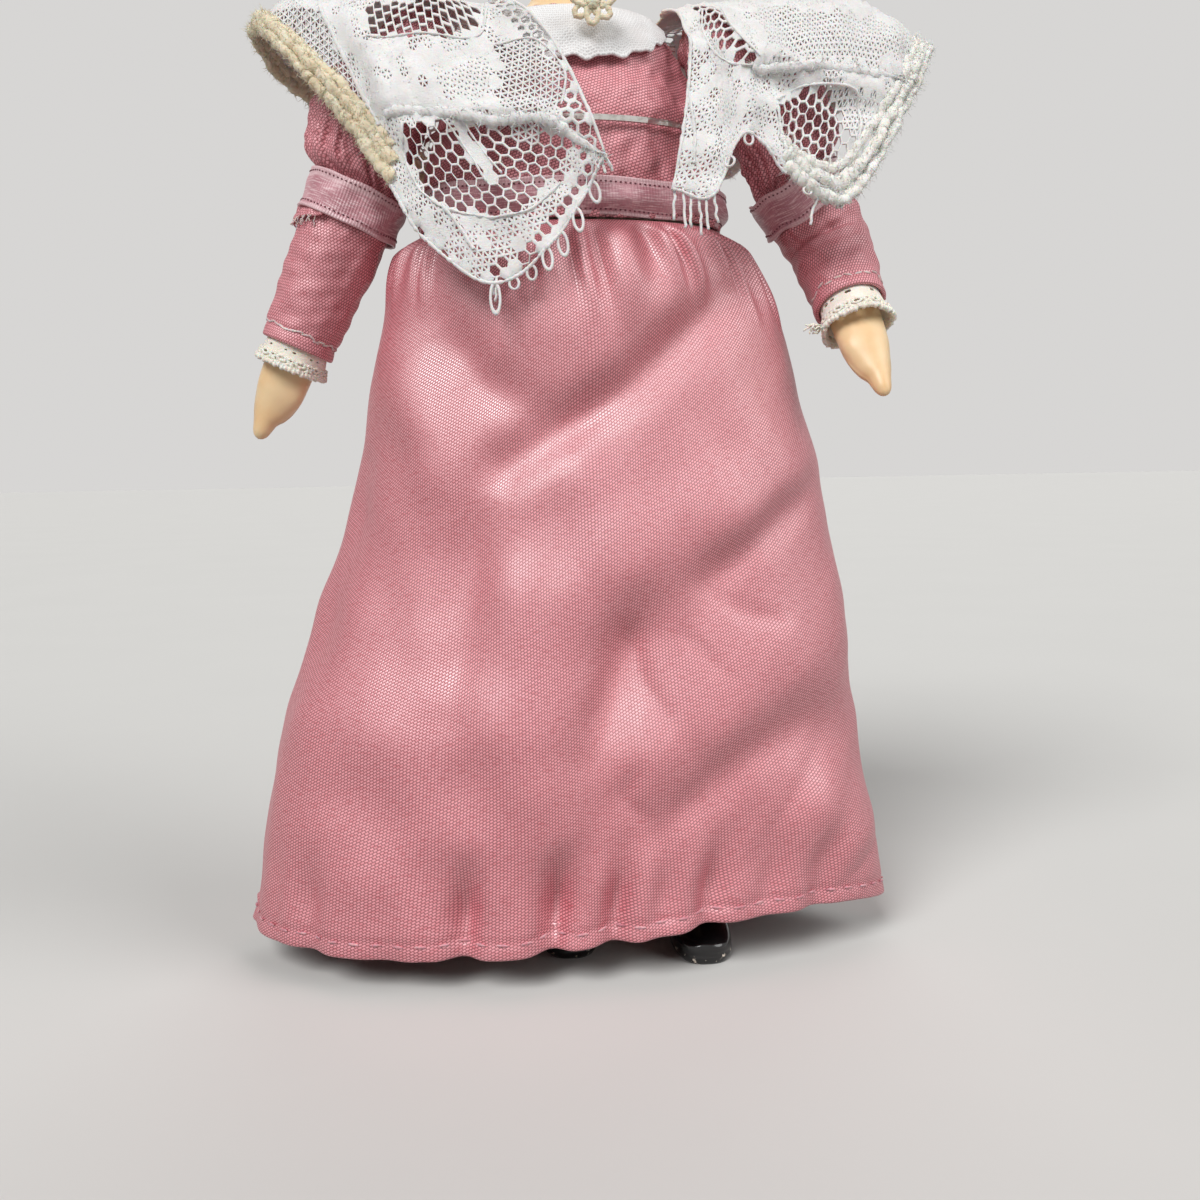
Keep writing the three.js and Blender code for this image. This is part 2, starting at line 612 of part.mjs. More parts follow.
// Collar: half of a round cape, from the front edge over the shoulder to the middle of the back. Each rib
// of it leaves the neck, bends over a crest and hangs down to its own point of the edge
function collarHalf({ side, neckDeg, frontBow, edge }) {
  const neckHeight = NECKLINE_HEIGHT + SEAT_GAP + LACE;
  const [neckX, neckY] = ["rx", "ry"].map((key) => station(TORSO, key, NECKLINE_HEIGHT) + BIB_OUT + 2 * SEAT_GAP);
  const shoulderTop = SHOULDER_HEIGHT + PUFF_CAP_RADIUS + COLLAR_CREST;
  const [first, last] = [edge[0].deg, edge.at(-1).deg];
  const place = (angle, rx, ry, z) => new THREE.Vector3(side * rx * Math.sin(angle), -ry * Math.cos(angle), z);
  const position = (u, v) => {
    const deg = mix(first, last, u);
    const [reach, drop] = ["reach", "drop"].map((key) => station(edge, key, deg, "deg"));
    const overArm = ease(deg, first, 80) * (1 - ease(deg, 100, last));
    const neck = place(radians(mix(neckDeg, last, u)), neckX, neckY, neckHeight);
    const foot = place(radians(deg), reach, reach, neckHeight - drop);
    const crest = neck.clone().lerp(foot, mix(COLLAR_FALL.front, COLLAR_FALL.arm, overArm));
    const nearFront = 1 - ease(deg, first, first + FRONT_BOW_SPREAD_DEG);
    crest.x += side * frontBow.out * nearFront;
    crest.y -= frontBow.ahead * nearFront;
    crest.z = mix(neckHeight + SEAT_GAP, shoulderTop, overArm);
    return new THREE.QuadraticBezierCurve3(neck, crest, foot).getPoint(v);
  };
  const step = 0.002;
  const sunk = (u, v, depth) => {
    const [u0, v0] = [Math.min(u, 1 - step), Math.min(v, 1 - step)];
    const at = position(u0, v0);
    const across = position(u0 + step, v0).sub(at);
    const down = position(u0, v0 + step).sub(at);
    const inward = across.cross(down).multiplyScalar(side).normalize();
    return position(u, v).addScaledVector(inward, -depth);
  };
  const grid = (depth) => levels(0, 1, 8).map((v) => levels(0, 1, 26).map((u) => sunk(u, v, depth)));
  return patchOfCloth(grid(0), grid(LACE));
}

// How near a place is to a bent line, 1 on it, fading with the width and towards both ends
function nearness(x, z, { line, width }) {
  const corners = line.map(([cx, cz]) => new THREE.Vector2(cx, cz));
  const lengths = corners.slice(1).map((corner, i) => corner.distanceTo(corners[i]));
  const whole = lengths.reduce((sum, length) => sum + length, 0);
  let before = 0;
  const shares = lengths.map((length, i) => {
    const run = corners[i + 1].clone().sub(corners[i]);
    const from = new THREE.Vector2(x, z).sub(corners[i]);
    const t = THREE.MathUtils.clamp(from.dot(run) / (length * length), 0, 1);
    const off = from.addScaledVector(run, -t).length();
    const share = (before + t * length) / whole;
    before += length;
    return Math.exp(-((off / width) ** 2)) * ease(share, -0.35, 0.3) * (1 - ease(share, 0.7, 1.35));
  });
  return Math.max(...shares);
}

// Gown skirt with gathers under the waist ribbon, pulled folds in front, soft ones behind and pressed side edges
function skirt() {
  const top = RIBBON_FOOT - SEAT_GAP;
  const waistRadius = (key) => station(TORSO, key, top) + BODICE_OUT;
  const mid = (HIP_HEIGHT + HEM_HEIGHT) / 2;
  const hipLine = HIP_HEIGHT + HIP_LINE_RISE;
  const swell = top - WAIST_SWELL.drop;
  const stations = [
    { z: HEM_HEIGHT, ...HEM_LINE },
    { z: mid, ...MID_SKIRT },
    { z: hipLine, ...HIP_LINE },
    { z: swell, x: 0, rx: waistRadius("rx") + WAIST_SWELL.rx, ry: waistRadius("ry") + WAIST_SWELL.ry },
    { z: top, x: 0, rx: waistRadius("rx"), ry: waistRadius("ry") },
  ];
  // The hem is caught up a little at the front, towards the doll's left
  const lift = (x, y) => {
    const across = Math.exp(-(((x - HEM_LIFT.x) / HEM_LIFT.spread) ** 2));
    return HEM_LIFT.rise * across * ease(-y / HEM_LINE.ry, -0.2, 0.5);
  };
  const drape = (angle, x, z, down) => {
    const front = ease(-Math.sin(angle), -0.1, 0.35);
    const gather = GATHER_DEPTH * ease(down, 0.01, 0.06) * (1 - ease(down, 0.12, 0.3));
    const back = BACK_FOLD_DEPTH * ease(down, 0.2, 0.95) * Math.sin(BACK_FOLDS * angle + BACK_FOLD_TWIST * down);
    const pulled = FRONT_FOLDS.reduce((sum, fold) => sum + fold.height * nearness(x, z, fold), 0);
    return gather * Math.cos(GATHERS * angle) + mix(back, pulled, front);
  };
  const heights = [...levels(HEM_HEIGHT, hipLine, 10), swell, mix(swell, top, 0.6), top];
  const skin = (inset) =>
    heights.map((z) => {
      const down = (top - z) / (top - HEM_HEIGHT);
      const [x, wide, deep] = ["x", "rx", "ry"].map((key) => station(stations, key, z));
      const [rx, ry] = [wide - inset, deep - inset];
      const square = 1 + SIDE_PINCH * ease(down, 0.15, 0.9);
      return ring({ x, z, rx, ry, square }, SKIRT_SIDES).map((point, i) => {
        const angle = (i / SKIRT_SIDES) * Math.PI * 2;
        const outward = new THREE.Vector3(Math.cos(angle) / rx, Math.sin(angle) / ry, 0).normalize();
        const raised = lift(point.x, point.y) * down * down;
        point.addScaledVector(outward, drape(angle, point.x, z, down));
        return point.setZ(z + raised);
      });
    });
  return tubeOfCloth(skin(0), skin(SATIN));
}

// Half a round cap over an end, as extra rings of a limb
function roundedEnd(z, radius, direction, at) {
  return [0.15, 0.5, 0.8, 0.97].map((share) => {
    const r = radius * Math.sqrt(1 - share * share);
    return { ...at, z: z + direction * radius * share, rx: r, ry: r };
  });
}

function upperArm() {
  const foot = -(ELBOW_LENGTH - FOREARM_RADIUS - TURN_GAP);
  const rings = [
    { z: foot, rx: 0.85 * ARM_RADIUS, ry: 0.85 * ARM_RADIUS },
    { z: 0.55 * foot, rx: 1.02 * ARM_RADIUS, ry: 1.02 * ARM_RADIUS },
    { z: 0, rx: ARM_RADIUS, ry: ARM_RADIUS },
    ...roundedEnd(0, ARM_RADIUS, 1, {}),
  ].map((s) => ring(s, LIMB_SIDES));
  const bore = bar(WIRE_RADIUS + SEAT_GAP, 2 * ELBOW_LENGTH, ALONG_Z, { x: 0, y: 0, z: -ELBOW_LENGTH });
  return cut(loft(rings), bore);
}

function armWire() {
  const length = ELBOW_LENGTH - FOREARM_RADIUS - 2 * TURN_GAP;
  return bar(WIRE_RADIUS, length, ALONG_Z, { x: 0, y: 0, z: -length / 2 - TURN_GAP });
}

function puffSleeve(side) {
  const mouth = SLEEVE_TOP_RADIUS;
  const puff = (share) => mix(PUFF_CAP_RADIUS, PUFF_RADIUS, share);
  const profile = (grow) => {
    const cap = PUFF_CAP_RADIUS + grow;
    return [
      { full: 0, z: SEAT_GAP - PUFF_FOOT, rx: mouth + grow, ry: mouth + grow },
      { full: 0, z: -PUFF_LENGTH, rx: mouth + grow, ry: mouth + grow },
      { full: 0.75, z: -0.88 * PUFF_LENGTH, rx: puff(0.75) + grow, ry: puff(0.85) + grow },
      { full: 1, z: -0.5 * PUFF_LENGTH, rx: PUFF_RADIUS + grow, ry: PUFF_RADIUS + grow },
      { full: 0.5, z: -0.2 * PUFF_LENGTH, rx: puff(0.5) + grow, ry: puff(0.9) + grow },
      { full: 0, z: 0, rx: cap, ry: cap },
      ...roundedEnd(0, cap, 1, { full: 0 }),
    ];
  };
  const skin = (grow) =>
    loft(
      profile(grow).map((s) => {
        const fold = s.full * PUFF_FOLD_DEPTH;
        const outset = side * s.full * PUFF_FULLNESS;
        return ring({ ...s, x: outset }, SLEEVE_SIDES, (a) => 1 + fold * Math.cos(PUFF_FOLDS * a));
      }),
    );
  const mouthBore = bar(mouth - SATIN, 2 * SATIN, ALONG_Z, { x: 0, y: 0, z: SEAT_GAP - PUFF_FOOT }, SLEEVE_SIDES);
  return cut(skin(0), skin(-SATIN), mouthBore.rotateZ(Math.PI / 2));
}

// A band of cloth round a limb between two levels, with its own outer radius at each end
function band(top, foot, topRadius, footRadius, thickness, sides = SLEEVE_SIDES, steps = 1) {
  const skin = (inset) =>
    levels(foot, top, steps).map((z) => {
      const r = mix(footRadius, topRadius, (z - foot) / (top - foot)) - inset;
      return ring({ z, rx: r, ry: r }, sides);
    });
  return tubeOfCloth(skin(0), skin(thickness));
}

function sleeveRibbon() {
  return band(-PUFF_LENGTH, -PUFF_FOOT, SLEEVE_RIBBON_RADIUS, SLEEVE_RIBBON_RADIUS, RIBBON);
}

// The lower sleeve, cuff and forearm are measured from the elbow
function lowerSleeve(bend, length) {
  const top = ELBOW_DROP - SEAT_GAP;
  const foot = -length;
  const straight = new THREE.Quaternion();
  const skin = (inset) =>
    [...levels(top, -top, 4), ...levels(-top, foot, 2).slice(1)].map((z) => {
      const radius = mix(SLEEVE_TOP_RADIUS, SLEEVE_CUFF_RADIUS, (top - z) / (top - foot)) - inset;
      const middle = new THREE.Vector3(0, 0, z).applyQuaternion(z > 0 ? bend : straight);
      const lean = straight.clone().slerp(bend, ease(z, -top, top));
      return ring({ z: 0, rx: radius, ry: radius }, SLEEVE_SIDES).map((p) => p.applyQuaternion(lean).add(middle));
    });
  return tubeOfCloth(skin(0), skin(SATIN));
}

function cuffLace(sleeve) {
  const top = -sleeve - SEAT_GAP;
  const radius = WRIST.rx + 2 * SEAT_GAP + LACE;
  return band(top, top - CUFF_WIDTH, radius, radius, LACE, SLEEVE_SIDES, 1);
}

// Bisque forearm: a round end at the elbow, a wide wrist and a plain mitten that tapers to its tip
function forearm(side, sleeve) {
  const tip = -FOREARM_LENGTH;
  const wrist = -sleeve;
  const taper = [
    { at: 0, size: 0.22, lean: 1 },
    { at: 0.06, size: 0.38, lean: 0.9 },
    { at: 0.18, size: 0.54, lean: 0.7 },
    { at: 0.34, size: 0.76, lean: 0.3 },
    { at: 0.55, size: 0.93, lean: 0 },
    { at: 1, size: 1, lean: 0 },
  ];
  const hand = [
    ...taper.map(({ at, size, lean }) => ({
      z: mix(tip, wrist, at),
      rx: size * WRIST.rx,
      ry: size * WRIST.ry,
      x: lean * THUMB_LEAN,
    })),
    { z: 0.5 * wrist, rx: 0.97 * FOREARM_RADIUS, ry: 0.95 * FOREARM_RADIUS, x: 0 },
    { z: 0, rx: FOREARM_RADIUS, ry: FOREARM_RADIUS, x: 0 },
    ...roundedEnd(0, FOREARM_RADIUS, 1, { x: 0 }),
  ];
  return loft(hand.map((s) => ring({ ...s, x: side * s.x }, LIMB_SIDES)));
}

function arm(sideName, { side, raise, inward, flex, sleeve }) {
  const shoulder = new THREE.Group();
  shoulder.name = `${sideName}_shoulder_pivot`;
  shoulder.position.set(side * SHOULDER_SPREAD, 0, SHOULDER_HEIGHT);
  shoulder.rotation.y = -side * radians(raise);
  const elbow = new THREE.Group();
  elbow.name = `${sideName}_elbow_pivot`;
  elbow.position.z = -ELBOW_LENGTH;
  elbow.rotation.y = side * radians(inward);
  const fore = new THREE.Group();
  fore.rotation.x = -radians(flex);
  const bend = elbow.quaternion.clone().multiply(fore.quaternion).invert();
  shoulder.add(
    piece(`${sideName}_upper_arm`, "calico", upperArm()),
    piece(`${sideName}_arm_wire`, "steel", armWire()),
    piece(`${sideName}_puff_sleeve`, "satin", puffSleeve(side)),
    piece(`${sideName}_sleeve_ribbon`, "ribbon", sleeveRibbon()),
    elbow.add(fore),
  );
  fore.add(
    piece(`${sideName}_lower_sleeve`, "satin", lowerSleeve(bend, sleeve)),
    piece(`${sideName}_cuff_lace`, "lace", cuffLace(sleeve)),
    piece(`${sideName}_forearm`, "bisque", forearm(side, sleeve)),
  );
  return shoulder;
}

function pelvisPad() {
  const profile = [
    new THREE.Vector2(0, -PELVIS_HALF_LENGTH),
    new THREE.Vector2(0.7 * PELVIS_RADIUS, -0.96 * PELVIS_HALF_LENGTH),
    new THREE.Vector2(PELVIS_RADIUS, -0.72 * PELVIS_HALF_LENGTH),
    new THREE.Vector2(PELVIS_RADIUS, 0.72 * PELVIS_HALF_LENGTH),
    new THREE.Vector2(0.7 * PELVIS_RADIUS, 0.96 * PELVIS_HALF_LENGTH),
    new THREE.Vector2(0, PELVIS_HALF_LENGTH),
  ];
  return new THREE.LatheGeometry(profile, 2 * LIMB_SIDES).rotateZ(-Math.PI / 2).translate(0, 0, BEND_HEIGHT);
}

// The middle of a leg at a height: the legs lean to the doll's left towards the floor
function legX({ side, lean }, z) {
  return LEG_SHIFT + side * HIP_SPREAD + lean * (1 - z / HIP_HEIGHT);
}

// How far the foot of a leg is set back at a height below the knee
function legY({ stepBack }, z) {
  return stepBack * Math.max(0, 1 - z / KNEE_HEIGHT);
}

function legLoft(stance, stations, sides = LIMB_SIDES) {
  return loft(
    stations.map((s) => ring({ ...s, x: legX(stance, s.z), y: (s.y ?? 0) + legY(stance, s.z) }, sides)),
  );
}

const THIGH_FOOT = KNEE_HEIGHT + SHIN_RADIUS + TURN_GAP;

function thigh(stance) {
  const body = legLoft(stance, [
    { z: THIGH_FOOT, rx: THIGH_KNEE_RADIUS, ry: THIGH_KNEE_RADIUS },
    { z: mix(THIGH_FOOT, HIP_HEIGHT, 0.5), rx: THIGH_RADIUS, ry: THIGH_RADIUS },
    { z: HIP_HEIGHT, rx: THIGH_RADIUS, ry: THIGH_RADIUS },
    ...roundedEnd(HIP_HEIGHT, THIGH_RADIUS, 1, {}),
  ]);
  return cut(body, legWire(stance, SEAT_GAP, THIGH_FOOT - 1));
}

function legWire(stance, grow = 0, foot = THIGH_FOOT) {
  const radius = WIRE_RADIUS + grow;
  const rings = [foot, HIP_HEIGHT].map((z) => ring({ x: legX(stance, z), z, rx: radius, ry: radius }, WIRE_SIDES));
  return loft(rings);
}

function drawersLeg(stance) {
  const top = HIP_HEIGHT + DRAWERS_RISE;
  const stations = [
    { z: top - DRAWERS_LENGTH, r: DRAWERS_RADIUS },
    { z: top - 0.55 * DRAWERS_LENGTH, r: mix(DRAWERS_FIT, DRAWERS_RADIUS, 0.4) },
    { z: top, r: DRAWERS_FIT },
  ];
  const skin = (inset) =>
    stations.map(({ z, r }) => ring({ x: legX(stance, z), z, rx: r - inset, ry: r - inset }, SLEEVE_SIDES));
  return tubeOfCloth(skin(0), skin(LINEN));
}

// Bisque lower leg with a moulded shoe: a flat sole, a rounded toe and a low heel
function lowerLeg(stance) {
  const half = SHOE_LENGTH / 2;
  const middle = SHOE_HEEL_BACK - half;
  const wide = SHOE_WIDTH / 2;
  const shin = SHIN_RADIUS;
  const leg = legLoft(
    stance,
    [
      { z: 0, y: middle, rx: 0.92 * wide, ry: 0.97 * half, square: 0.7 },
      { z: 0.2 * SHOE_HEIGHT, y: middle, rx: wide, ry: half, square: 0.7 },
      { z: 0.46 * SHOE_HEIGHT, y: middle, rx: 0.98 * wide, ry: 0.96 * half, square: 0.75 },
      { z: 0.71 * SHOE_HEIGHT, y: middle + 0.12 * SHOE_LENGTH, rx: 0.9 * wide, ry: 0.8 * half, square: 0.85 },
      { z: SHOE_HEIGHT, y: middle + 0.2 * SHOE_LENGTH, rx: 0.82 * wide, ry: 0.56 * half },
      { z: ANKLE_HEIGHT, y: 0.4, rx: 0.85 * shin, ry: 0.95 * shin },
      { z: mix(ANKLE_HEIGHT, KNEE_HEIGHT, 0.16), y: 0.2, rx: 0.8 * shin, ry: 0.85 * shin },
      { z: mix(ANKLE_HEIGHT, KNEE_HEIGHT, 0.52), y: 0.3, rx: 1.06 * shin, ry: 1.12 * shin },
      { z: KNEE_HEIGHT, y: 0, rx: shin, ry: shin },
      ...roundedEnd(KNEE_HEIGHT, shin, 1, { y: 0 }),
    ],
    18,
  );
  const instep = { x: 0, y: legY(stance, 0), z: -0.2 * HEEL_NOTCH_RADIUS };
  const notch = bar(HEEL_NOTCH_RADIUS, LONG_CUT, ALONG_X, instep);
  return cut(leg, notch);
}

function leg(sideName, stance) {
  return [
    piece(`${sideName}_thigh`, "calico", thigh(stance)),
    piece(`${sideName}_leg_wire`, "steel", legWire(stance)),
    piece(`${sideName}_drawers_leg`, "linen", drawersLeg(stance)),
    piece(`${sideName}_lower_leg`, "bisque", lowerLeg(stance)),
  ];
}

const doll = new THREE.Group();
doll.add(
  piece("shoulder_head", "bisque", head()),
  piece("hair_cap", "hair", hairCap()),
  piece("hair_bun", "hair", hairBun()),
  piece("torso_pad", "calico", torsoPad()),
  piece("spine_wire", "steel", spineWire()),
  piece("shoulder_wire", "steel", shoulderWire()),
  piece("bodice", "satin", bodice()),
  piece("bib", "linen", bib()),
  piece("throat_bow", "cream", throatBow()),
  piece("waist_ribbon", "ribbon", waistRibbon()),
  piece("chest_wire", "steel", chestWire()),
  piece("right_collar", "lace", collarHalf(RIGHT_COLLAR)),
  piece("left_collar", "lace", collarHalf(LEFT_COLLAR)),
  arm("right", RIGHT_ARM),
  arm("left", LEFT_ARM),
  piece("pelvis_pad", "calico", pelvisPad()),
  piece("skirt", "satin", skirt()),
  ...leg("right", RIGHT_LEG),
  ...leg("left", LEFT_LEG),
);

// The origin goes to the middle of the base
const box = new THREE.Box3().setFromObject(doll, true);
const middle = box.getCenter(new THREE.Vector3());
doll.position.set(-middle.x, -middle.y, 0);

export default doll;
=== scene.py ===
"""Looks of a miniature costume doll: a bisque lady in a satin gown with a wide lace collar.

The script runs in Blender 4.5 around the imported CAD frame. Lengths in the code are millimetres in the doll's
own axes: +Z up, the doll faces -Y, its own left is +X and the origin is on its middle line at the floor.
Meshes are made in metres, in the frame's axes.
"""

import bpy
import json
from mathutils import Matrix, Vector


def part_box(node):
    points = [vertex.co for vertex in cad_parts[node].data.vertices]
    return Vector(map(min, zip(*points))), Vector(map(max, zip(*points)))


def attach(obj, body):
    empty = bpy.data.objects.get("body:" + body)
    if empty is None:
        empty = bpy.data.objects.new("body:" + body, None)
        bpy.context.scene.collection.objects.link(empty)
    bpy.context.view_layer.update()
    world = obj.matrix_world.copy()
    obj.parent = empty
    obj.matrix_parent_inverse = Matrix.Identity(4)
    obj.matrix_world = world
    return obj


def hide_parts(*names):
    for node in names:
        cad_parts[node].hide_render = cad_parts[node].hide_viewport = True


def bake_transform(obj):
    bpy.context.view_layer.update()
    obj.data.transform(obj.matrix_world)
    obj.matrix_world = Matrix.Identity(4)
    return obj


bl_info = {
    "name": "Miniature costume doll",
    "version": (1, 0, 0),
    "blender": (4, 5, 0),
    "location": "View3D > Sidebar > Doll",
    "description": "Dresses the doll's CAD frame in its satin gown, lace, ribbons, wig and bisque",
    "category": "Add Mesh",
}

import json
import math

import bmesh
import bpy
import numpy as np
from bpy.props import FloatProperty, FloatVectorProperty, IntProperty, PointerProperty
from mathutils import Matrix, Vector

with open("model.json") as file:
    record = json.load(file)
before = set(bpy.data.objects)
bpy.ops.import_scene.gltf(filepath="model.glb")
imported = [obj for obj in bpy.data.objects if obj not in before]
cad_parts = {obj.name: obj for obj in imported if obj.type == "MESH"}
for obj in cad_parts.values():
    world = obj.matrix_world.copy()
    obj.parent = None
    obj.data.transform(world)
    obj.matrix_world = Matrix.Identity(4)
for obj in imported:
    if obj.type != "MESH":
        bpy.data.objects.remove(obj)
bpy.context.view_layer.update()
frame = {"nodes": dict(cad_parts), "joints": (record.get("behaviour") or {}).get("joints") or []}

MM = 0.001
TURN = 2 * math.pi


def node_middle(node):
    """Middle of a CAD node's box, in millimetres."""
    low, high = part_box(node)
    return np.array((low + high) / 2) / MM


AXIS = node_middle("torso_pad") * (1, 1, 0)
JOINT = {joint["name"]: np.array(joint["pos_m"]) / MM - AXIS for joint in frame["joints"]}

# Heights of the doll, from its joints and nodes
KNEE = JOINT["right_knee"][2]
HIP = JOINT["right_hip"][2]
BEND = JOINT["hip_bend"][2]
SHOULDER = JOINT["right_shoulder"][2]
WAIST = node_middle("waist_ribbon")[2]
WIRE_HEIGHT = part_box("chest_wire")[1].z / MM - 0.35
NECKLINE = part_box("bodice")[1].z / MM
TORSO_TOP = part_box("torso_pad")[1].z / MM
CHIN = TORSO_TOP + 6
CROWN = CHIN + 21
SKIRT_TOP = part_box("skirt")[1].z / MM
HEM = 4.4
# Running stitch of the skirt, above its hem
STITCH_LINE = 1.7

# Stuffed torso: height, half width and half depth
TORSO = (
    (BEND + 5.2, 15.0, 9.4),
    (WAIST, 15.5, 9.8),
    (WIRE_HEIGHT, 13.7, 10.2),
    (SHOULDER - 6, 12.2, 9.4),
    (SHOULDER, 9.0, 7.4),
    (TORSO_TOP, 4.8, 4.6),
)
# How far the shoulder plate, the bodice and its trims stand off the torso
PLATE = 1.3
BODICE = 2.2
TRIM = 3.0
# Thickness of the stuffed calico cases
CASE_WALL = 0.4
# Small stitches of the ribbons, dark beads whose colour is painted shade of their holes: pitch, length, radius
# and finish
RIBBON_STITCH = (0.55, 0.26, 0.1, "ribbon_hole")

# Gown skirt: height, sideways shift, half width and half depth
SKIRT = (
    (HEM, -1.4, 38.2, 17.0),
    ((HIP + HEM) / 2, -0.2, 30.0, 15.6),
    (HIP + 5.3, 0.9, 23.2, 14.4),
    (SKIRT_TOP - 2.5, 0.0, 20.5, 13.2),
    (SKIRT_TOP, 0.0, 17.3, 11.7),
)
# Lift of the front hem: rise, middle and spread
HEM_LIFT = (2.4, 22.0, 22.0)
# Cloth that stands off at the sides: side (the doll's left is 1), height of its middle, spread and depth
SIDE_SWELLS = ((1, 46.0, 22.0, 2.6), (-1, 30.0, 16.0, 2.4))

# Dents and swells of the skirt's front: start, middle and end as x and z, then width and height
SKIRT_FOLDS = (
    ((-7, 73), (2, 76), (9, 80), 6.0, 1.0),
    ((-8.5, 58.5), (5.5, 67), (16.5, 76.5), 2.6, -2.2),
    ((0, 46), (10, 50), (20, 55.2), 7.5, 2.1),
    ((-15, 74), (-11.2, 68.2), (-6, 64.8), 2.6, -1.2),
    ((-21, 70), (-17.5, 62), (-15, 54), 4.0, 1.2),
    ((24.5, 55), (18.5, 49.6), (13, 45), 2.3, -1.4),
    ((25, 37), (17.5, 32), (10, 27), 7.0, 2.7),
    ((5.5, 42), (2.5, 33), (0, 27), 3.0, -1.5),
    ((4, 38), (1.5, 24), (-1.5, 6), 3.8, -1.3),
    ((-12, 30), (-8, 28), (-5, 28), 14.0, 2.4),
    ((-12, 55.5), (-13.4, 43.6), (-14.7, 32), 2.8, -1.0),
    ((-7, 53), (-8, 43), (-9.5, 31), 3.4, 0.7),
    ((-25.5, 58), (-28.1, 45.6), (-30.5, 34), 2.8, -1.5),
    ((-34, 11), (-26, 9.5), (-18, 8.5), 10.0, 3.0),
    ((-32, 28), (-26, 26), (-20, 25), 12.0, 1.6),
    ((22, 18), (29, 14), (33, 10), 7.5, 2.8),
    ((22, 27.5), (14.8, 22.9), (8, 17), 2.6, -0.8),
    ((4.7, 24.2), (3.7, 21.5), (5.5, 18.5), 0.8, -0.5),
    ((4.6, 40.4), (6.1, 34.3), (8.2, 29.8), 0.8, -0.45),
    ((10.2, 39.3), (12.1, 37.2), (14.2, 34.2), 0.8, -0.4),
    ((14.8, 43.0), (17.0, 41.0), (20.5, 40.2), 0.9, -0.35),
)
# Short dents above the hem, where its stitches have drawn it up: place across and depth
HEM_PUCKERS = (
    (-31.0, 2.2), (-22.5, 0.9), (-14.6, 3.3), (-4.8, 3.7), (2.4, 3.4),
    (7.6, 1.3), (13.4, 2.6), (20.2, 1.0), (26.5, 1.6),
)
PUCKER_HEIGHT = 14.0

